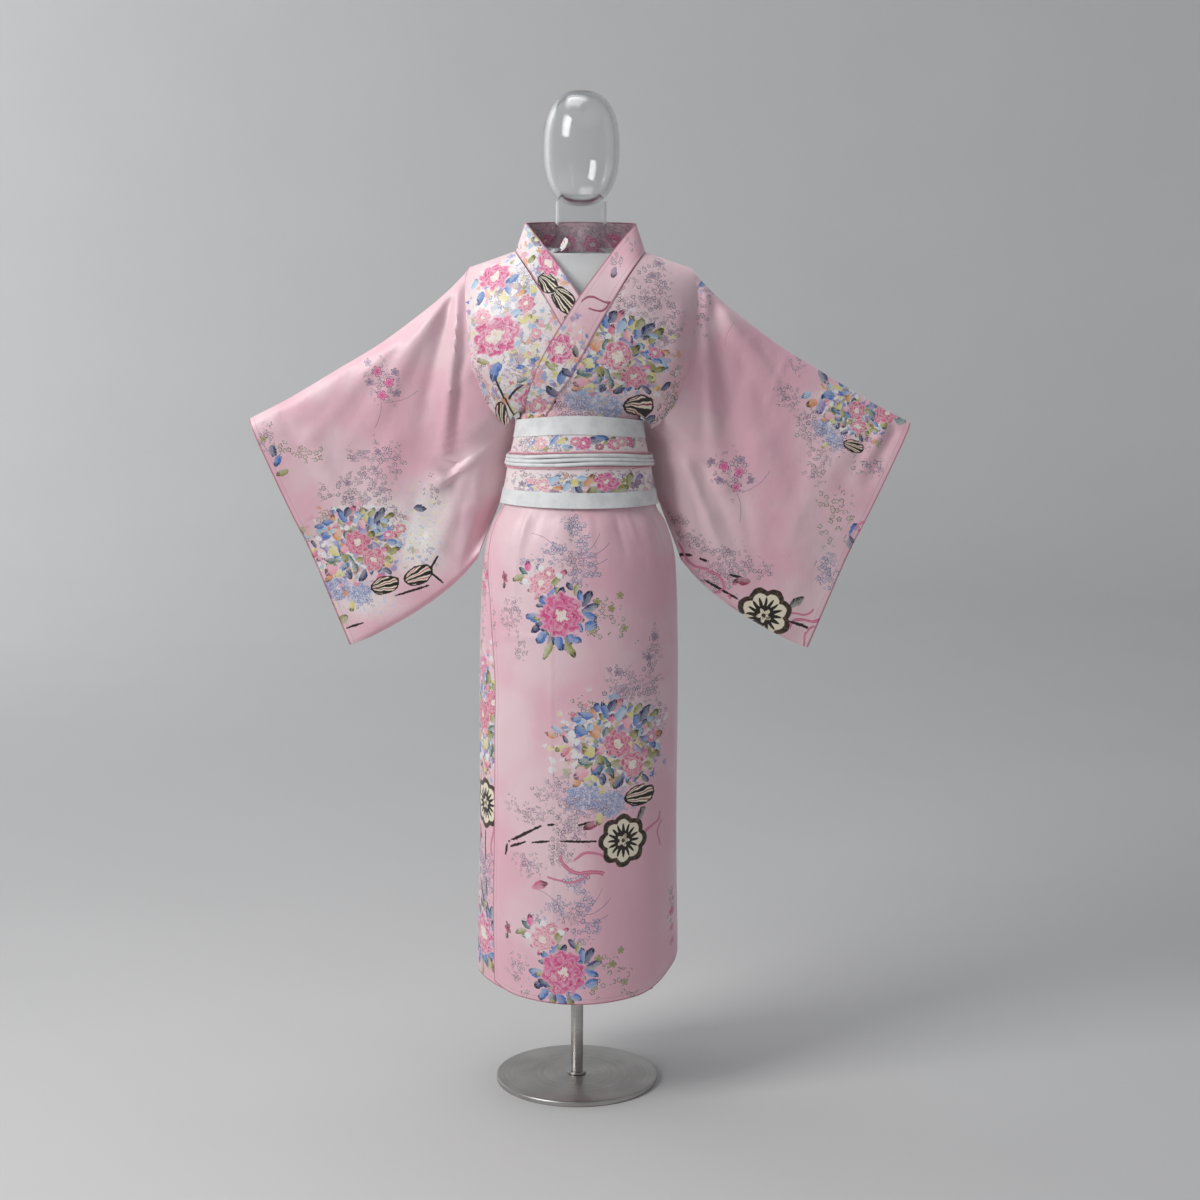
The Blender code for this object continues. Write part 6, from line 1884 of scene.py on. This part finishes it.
# %% Print and make the obi
OBI_SINGLE = (
    (6, 1.203, 14, 12, 0, "bloom", "magenta"), (-6, 1.205, 9, 8, 0, "bloom", "rose"),
    (24, 1.208, 15, 8, 10, "leaf", "navy"), (36, 1.212, 12, 6, 350, "leaf", "blue"),
    (46, 1.206, 12, 6, 30, "leaf", "olive"), (54, 1.200, 13, 11, 0, "bloom", "magenta"),
    (30, 1.196, 9, 7, 0, "bloom", "crimson"), (68, 1.204, 12, 11, 0, "bloom", "blush"),
    (82, 1.203, 12, 11, 0, "bloom", "magenta"), (-26, 1.206, 11, 6, 40, "leaf", "yellow"),
    (-38, 1.208, 12, 5, 60, "leaf", "blue"), (-18, 1.196, 9, 5, 0, "leaf", "sky"),
    (-60, 1.200, 12, 10, 0, "bloom", "blush"), (92, 1.200, 10, 6, 60, "leaf", "black"),
    (38, 1.135, 20, 17, 0, "bloom", "magenta"), (44, 1.119, 14, 7, 330, "leaf", "navy"),
    (20, 1.121, 13, 8, 200, "leaf", "olive"), (60, 1.122, 14, 8, 20, "leaf", "olive"),
    (30, 1.120, 12, 7, 250, "leaf", "teal"), (14, 1.138, 13, 7, 60, "leaf", "orange"),
    (74, 1.138, 14, 8, 70, "leaf", "olive"), (84, 1.128, 11, 9, 0, "bud", "mauve"),
    (-6, 1.134, 12, 7, 30, "leaf", "yellow"), (-16, 1.128, 10, 6, 80, "leaf", "sky"),
    (0, 1.122, 9, 5, 120, "leaf", "navy"), (-36, 1.138, 13, 7, 45, "leaf", "sky"),
    (-50, 1.130, 13, 12, 0, "bloom", "blush"), (-28, 1.124, 9, 5, 0, "leaf", "orange"),
    (-70, 1.134, 11, 9, 0, "bud", "blush"), (94, 1.140, 10, 6, 20, "leaf", "purple"),
    (-86, 1.128, 9, 7, 0, "bud", "mauve"), (4, 1.142, 9, 5, 0, "leaf", "sky"),
)
OBI_FIELDS = (
    (-60, 1.200, 60, 16, "mauve", 0.7), (60, 1.130, 60, 20, "mauve", 0.8),
    (-50, 1.130, 60, 20, "mauve", 0.7), (0, 1.200, 120, 16, "wash", 0.9), (0, 1.130, 120, 22, "wash", 0.8),
    (20, 1.128, 90, 20, "dabs", 0.8), (-10, 1.200, 100, 12, "dabs", 0.4), (0, 1.130, 40, 16, "lilac", 0.5),
)
TRIMS = (("obi_trim_top", 1.205, OBI_TOP), ("obi_trim_bottom", OBI_BOTTOM, 1.1155))
BACK_SHIFTS = (-0.33, 0.22)
BACK_DROP = 0.006
obi_motifs = [
    (a * MM, z, long * MM, wide * MM, turn, kind, ink)
    for a, z, long, wide, turn, kind, ink in OBI_SINGLE
]
for shift in BACK_SHIFTS:
    front_motifs = obi_motifs[:len(OBI_SINGLE)]
    obi_motifs += [(row[0] + shift, row[1] - BACK_DROP, *row[2:]) for row in front_motifs]
obi_washes = [
    (a * MM + shift, z, x * MM, y * MM, 0.0, kind, amount)
    for a, z, x, y, kind, amount in OBI_FIELDS for shift in (0.0, *BACK_SHIFTS)
]
obi_rows = spread(OBI_BOTTOM, OBI_TOP, BAND_CELL)
obi = band("obi_band_cloth", obi_rows, 0.0, OBI_WALL, obi_satin, (obi_motifs, obi_washes))
settle(obi, "obi_band")
for name, low, high in TRIMS:
    trim = band(name + "_cloth", spread(low, high, TRIM_CELL), ON_BAND, TRIM_WALL, white_satin)
    settle(trim, name)

# %% [markdown]
# The rolled strands and pipings are curves with a round section, drawn along the same rings. A slight
# wave keeps them from looking like wire, and a curve keeps its roundness at any distance.

# %% Strands and pipings
STRAND_RADIUS, PIPING_RADIUS = 0.0034, 0.0016
CORDS = (
    ("waist_cord_1", 1.1600, STRAND_RADIUS, white_satin, "white_satin", 0.0007),
    ("waist_cord_2", 1.1665, STRAND_RADIUS, white_satin, "white_satin", 0.0005),
    ("waist_cord_3", 1.1730, STRAND_RADIUS, white_satin, "white_satin", 0.0006),
    ("piping_lower", 1.1546, PIPING_RADIUS, piping_satin, "pink_piping", 0.0004),
    ("piping_upper", 1.1784, PIPING_RADIUS, piping_satin, "pink_piping", 0.0004),
)


def cord_mesh(name, path, radius, finish):
    """A closed round cord along a ring of points."""
    curve = bpy.data.curves.new(name, "CURVE")
    curve.dimensions = "3D"
    curve.bevel_depth = radius
    curve.bevel_resolution = 4
    line = curve.splines.new("POLY")
    line.points.add(len(path) - 1)
    for point, place in zip(line.points, path):
        point.co = (*place, 1.0)
    line.use_cyclic_u = True
    made = new_object(name, curve)
    made.data.materials.append(finish)
    select_only(made)
    bpy.ops.object.convert(target="MESH")
    made.data.shade_smooth()
    return made


for number, (name, height, radius, finish, slot_name, wave) in enumerate(CORDS):
    path = obi_ring(height, ON_BAND + radius, BAND_TILT)
    path[:, 2] += wave * np.sin(3 * AROUND + number) + wave * 0.5 * np.sin(7 * AROUND + 2 * number)
    settle(cord_mesh(name + "_cloth", path, radius, finish), name)

# %% [markdown]
# ## Clear form
# The head is a sphere, made a little squarer and then stretched above and below its middle. It gets a
# thick wall, because a moulded head is hollow and shows a double line at its edge. Its plastic is
# clear; below the neck the light is scattered a little, so the form looks white behind the collar.

# %% Clear plastic and the head
ACRYLIC_IOR = 1.46
FROSTED_CLEARNESS = 0.35


def clear_plastic(name, clearness):
    made, f, shader = new_material(name)
    smear = f.ramp(f.noise(f.object_place(), 9.0, 4.0, 0.6), 0.35, 0.75, 0.02, 0.10)
    f.feed(
        shader, Base_Color=(0.955, 0.965, 0.97, 1.0), Roughness=smear,
        Transmission_Weight=clearness, IOR=ACRYLIC_IOR,
    )
    return made


clear = clear_plastic("clear acrylic", 1.0)
frosted = clear_plastic("clear acrylic below the neck", FROSTED_CLEARNESS)
HEAD_MIDDLE = 1.712
HEAD_SIZE = (0.0675, 0.080, 0.090)
HEAD_TALLER = 0.100 / 0.090
HEAD_LOWER = 0.101 / 0.090
HEAD_SQUARENESS = 2.45
HEAD_WALL = 0.0095
HOLLOW_EDGE = math.radians(40)


def hollow(piece, wall):
    """Gives a closed skin a wall that grows inwards."""
    solid = piece.modifiers.new("Wall", "SOLIDIFY")
    solid.thickness = wall
    solid.offset = -1.0
    select_only(piece)
    bpy.ops.object.modifier_apply(modifier="Wall")
    bpy.ops.object.shade_smooth_by_angle(angle=HOLLOW_EDGE)


bpy.ops.object.select_all(action="DESELECT")
bpy.ops.mesh.primitive_uv_sphere_add(
    segments=96, ring_count=64, radius=1.0, location=(0, 0, HEAD_MIDDLE)
)
head = bpy.context.active_object
head.name = "form_head_clear"
bpy.ops.transform.resize(value=HEAD_SIZE)
bpy.ops.object.transform_apply(location=True, rotation=True, scale=True)
bpy.ops.object.mode_set(mode="EDIT")
work = bmesh.from_edit_mesh(head.data)
for vertex in work.verts:
    up = min(abs(vertex.co.z - HEAD_MIDDLE) / HEAD_SIZE[2], 0.9999)
    fuller = (1 - up**HEAD_SQUARENESS) ** (1 / HEAD_SQUARENESS) / math.sqrt(1 - up**2)
    vertex.co.x *= fuller
    vertex.co.y *= fuller
for stretch, sign in ((HEAD_TALLER, 1), (HEAD_LOWER, -1)):
    for vertex in work.verts:
        vertex.select = (vertex.co.z - HEAD_MIDDLE) * sign > 1e-6
    work.select_flush_mode()
    bmesh.update_edit_mesh(head.data)
    bpy.ops.transform.resize(value=(1.0, 1.0, stretch), center_override=(0, 0, HEAD_MIDDLE))
bpy.ops.object.mode_set(mode="OBJECT")
hollow(head, HEAD_WALL)
head.data.materials.append(clear)
settle(head, "form_head")

# %% [markdown]
# The body of the form is drawn the way one would by hand: one ring of points, extruded upwards and
# resized at each measured height. Its faces below the neck's root get the frosted plastic.

# %% Extrude the body of the form ring by ring
NECK_ROOT = 1.534
SHELL_WALL = 0.0032
TORSO = (
    (0.862, 0.120, 0.084), (0.866, 0.134, 0.094), (0.880, 0.146, 0.104), (0.930, 0.158, 0.112),
    (0.990, 0.158, 0.110), (1.040, 0.146, 0.102), (1.085, 0.128, 0.092), (1.165, 0.111, 0.079),
    (1.235, 0.097, 0.069), (1.264, 0.100, 0.070), (1.292, 0.124, 0.086), (1.330, 0.144, 0.100),
    (1.400, 0.162, 0.094), (1.460, 0.168, 0.078), (1.492, 0.166, 0.062), (1.5078, 0.159, 0.053),
    (1.5172, 0.150, 0.048), (1.5247, 0.126, 0.046), (1.531, 0.088, 0.0455), (1.540, 0.060, 0.0455),
    (1.560, 0.0455, 0.0455), (1.590, 0.0455, 0.0455), (1.614, 0.0455, 0.0455), (1.620, 0.0452, 0.0452),
)
bpy.ops.object.select_all(action="DESELECT")
bpy.ops.mesh.primitive_circle_add(
    vertices=96, radius=1.0, fill_type="NGON", location=(0, 0, TORSO[0][0])
)
torso = bpy.context.active_object
torso.name = "form_torso_clear"
bpy.ops.transform.resize(value=(TORSO[0][1], TORSO[0][2], 1.0))
bpy.ops.object.transform_apply(location=True, rotation=True, scale=True)
bpy.ops.object.mode_set(mode="EDIT")
bpy.ops.mesh.select_mode(type="EDGE")
bpy.ops.mesh.select_all(action="SELECT")
bpy.ops.mesh.region_to_loop()
for (low, wide, deep), (high, next_wide, next_deep) in zip(TORSO, TORSO[1:]):
    bpy.ops.mesh.extrude_edges_move(TRANSFORM_OT_translate={"value": (0, 0, high - low)})
    bpy.ops.transform.resize(
        value=(next_wide / wide, next_deep / deep, 1.0), center_override=(0, 0, high)
    )
bpy.ops.mesh.select_all(action="SELECT")
bpy.ops.mesh.normals_make_consistent(inside=False)
bpy.ops.object.mode_set(mode="OBJECT")
hollow(torso, SHELL_WALL)
torso.data.materials.append(clear)
torso.data.materials.append(frosted)
for face in torso.data.polygons:
    face.material_index = int(face.center.z < NECK_ROOT)
settle(torso, "form_torso")

# %% [markdown]
# ## Steel stand
# The base is a turned disc with a rounded rim, brushed in circles. The brush marks are a stretched
# noise in polar coordinates, which only change the roughness and a very low bump, so the disc shows
# the fan-shaped glow of brushed steel without any drawn line.

# %% Make the stand
BRUSH_LINES = 900.0
DISC_EDGE_LINES = 60.0
PALE_STEEL = linear((0.80, 0.79, 0.78))
STEEL = linear((0.71, 0.70, 0.69))
DARK_STEEL = linear((0.60, 0.59, 0.58))


def brushed_steel(name, lines_up):
    made, f, shader = new_material(name)
    place = f.object_place()
    x, y, z = f.parts(place)
    grain = f.noise(f.vector(f.times(f.radius(x, y), BRUSH_LINES), f.times(z, lines_up)), 1.0, 3.0)
    tone = f.mix(f.ramp(f.noise(place, 14.0, 3.0), 0.3, 0.7), PALE_STEEL, STEEL)
    f.feed(
        shader, Base_Color=f.mix(f.ramp(grain, 0.3, 0.7, 0.0, 0.25), tone, DARK_STEEL), Metallic=1.0,
        Roughness=f.ramp(grain, 0.25, 0.75, 0.26, 0.42), Normal=f.bump(grain, 0.15, 0.0002),
    )
    return made


disc_steel = brushed_steel("brushed steel disc", DISC_EDGE_LINES)
rod_steel = brushed_steel("brushed steel rod", BRUSH_LINES)
BASE_RADIUS, BASE_HEIGHT = 0.150, 0.010
FOOT_RADIUS, FOOT_HEIGHT = 0.017, 0.004
POLE_RADIUS, PLUG_RADIUS, PLUG_HEIGHT = 0.0115, 0.021, 0.030
BASE_RIM, FOOT_RIM, POLE_RIM, PLUG_RIM = 0.003, 0.0012, 0.0006, 0.002
FORM_GAP = 0.0003
TURNED_EDGE = math.radians(35)


def turned(name, radius, low, high, rounding, finish, node):
    """A turned steel cylinder with rounded rims, on the stand's axis."""
    bpy.ops.object.select_all(action="DESELECT")
    bpy.ops.mesh.primitive_cylinder_add(
        vertices=128, radius=radius, depth=high - low, location=(0, 0, (low + high) / 2)
    )
    made = bpy.context.active_object
    made.name = name
    bpy.ops.object.transform_apply(location=True, rotation=True, scale=True)
    bpy.ops.object.mode_set(mode="EDIT")
    bpy.ops.mesh.select_mode(type="EDGE")
    bpy.ops.mesh.select_all(action="DESELECT")
    work = bmesh.from_edit_mesh(made.data)
    for edge in work.edges:
        edge.select = len({round(v.co.z, 5) for v in edge.verts}) == 1
    bmesh.update_edit_mesh(made.data)
    bpy.ops.mesh.bevel(offset=rounding, segments=5, affect="EDGES")
    bpy.ops.object.mode_set(mode="OBJECT")
    bpy.ops.object.shade_smooth_by_angle(angle=TURNED_EDGE)
    made.data.materials.append(finish)
    settle(made, node)


foot_low = BASE_HEIGHT + FORM_GAP
pole_low = foot_low + FOOT_HEIGHT + FORM_GAP
plug_high = TORSO[0][0] - FORM_GAP
plug_low = plug_high - PLUG_HEIGHT
turned("base_steel", BASE_RADIUS, 0.0, BASE_HEIGHT, BASE_RIM, disc_steel, "base")
turned("pole_foot_steel", FOOT_RADIUS, foot_low, foot_low + FOOT_HEIGHT, FOOT_RIM, rod_steel, "pole_foot")
turned("pole_steel", POLE_RADIUS, pole_low, plug_low - FORM_GAP, POLE_RIM, rod_steel, "pole")
turned("pole_plug_steel", PLUG_RADIUS, plug_low, plug_high, PLUG_RIM, rod_steel, "pole_plug")

# %% [markdown]
# ## Studio
# A round sweep of pale paper rises all round the form, so that no horizon shows from any side. One
# large soft light stands in front on the left, a small one hangs above, and the world fills the
# shadows. A third light brightens the paper on the left, as in the picture.

# %% Floor, backdrop and lights
def paper(name, tone):
    made, f, shader = new_material(name)
    low, high = linear((tone - 0.01,) * 3), linear((tone + 0.01,) * 3)
    grain = f.noise(f.object_place(), 2.0, 4.0)
    f.feed(shader, Base_Color=f.mix(grain, low, high), Roughness=0.8)
    return made


SWEEP_FLAT, SWEEP_CURVE, SWEEP_TOP = 5.6, 2.6, 5.2
SWEEP_STEPS = 96
PAPER_TONE = 0.83
WORLD_COLOUR, WORLD_STRENGTH = (0.92, 0.95, 1.0, 1.0), 0.31
WHITE_LIGHT, WARM_LIGHT = (1.0, 1.0, 1.0), (1.0, 0.99, 0.975)
LIGHTS = (
    ("key", (-3.2, -2.1, 3.3), (0.0, 0.0, 1.15), (1.9, 2.2), 124.0, WARM_LIGHT),
    ("top", (-0.5, 0.3, 3.6), (0.0, 0.0, 1.4), (1.6, 1.6), 24.0, WHITE_LIGHT),
    ("wall_glow", (-4.4, 3.2, 4.6), (-4.6, 8.0, 2.3), (1.8, 1.8), 172.0, WHITE_LIGHT),
)
turns = np.linspace(0, math.pi / 2, 21)
profile = [(0.001, 0.0), (1.0, 0.0), (3.0, 0.0)]
profile += [(SWEEP_FLAT + SWEEP_CURVE * math.sin(a), SWEEP_CURVE * (1 - math.cos(a))) for a in turns]
profile += [(SWEEP_FLAT + SWEEP_CURVE, SWEEP_TOP)]
around = np.linspace(0, 2 * math.pi, SWEEP_STEPS, endpoint=False)
sweep_points = [(r * math.cos(a), r * math.sin(a), z) for r, z in profile for a in around]
sweep_mesh = bpy.data.meshes.new("sweep")
sweep_mesh.from_pydata(sweep_points, [], closed_faces(len(profile), SWEEP_STEPS)[:, ::-1].tolist())
sweep_mesh.shade_smooth()
sweep = new_object("sweep", sweep_mesh)
sweep_mesh.materials.append(paper("studio paper", PAPER_TONE))


def soft_light(name, place, target, size, power, colour):
    """A large light at a place, turned towards its target."""
    data = bpy.data.lights.new(name, "AREA")
    data.shape = "RECTANGLE"
    data.size, data.size_y = size
    data.energy = power
    data.color = colour
    made = new_object(name, data)
    made.location = place
    made.rotation_euler = (Vector(target) - Vector(place)).to_track_quat("-Z", "Y").to_euler()


for light in LIGHTS:
    soft_light(*light)
world = bpy.data.worlds.new("studio")
world.use_nodes = True
background = world.node_tree.nodes["Background"]
background.inputs["Color"].default_value = WORLD_COLOUR
background.inputs["Strength"].default_value = WORLD_STRENGTH
bpy.context.scene.world = world
bpy.context.scene.view_settings.view_transform = "Standard"
print("sweep:", len(sweep_points), "points; lights:", len(LIGHTS))
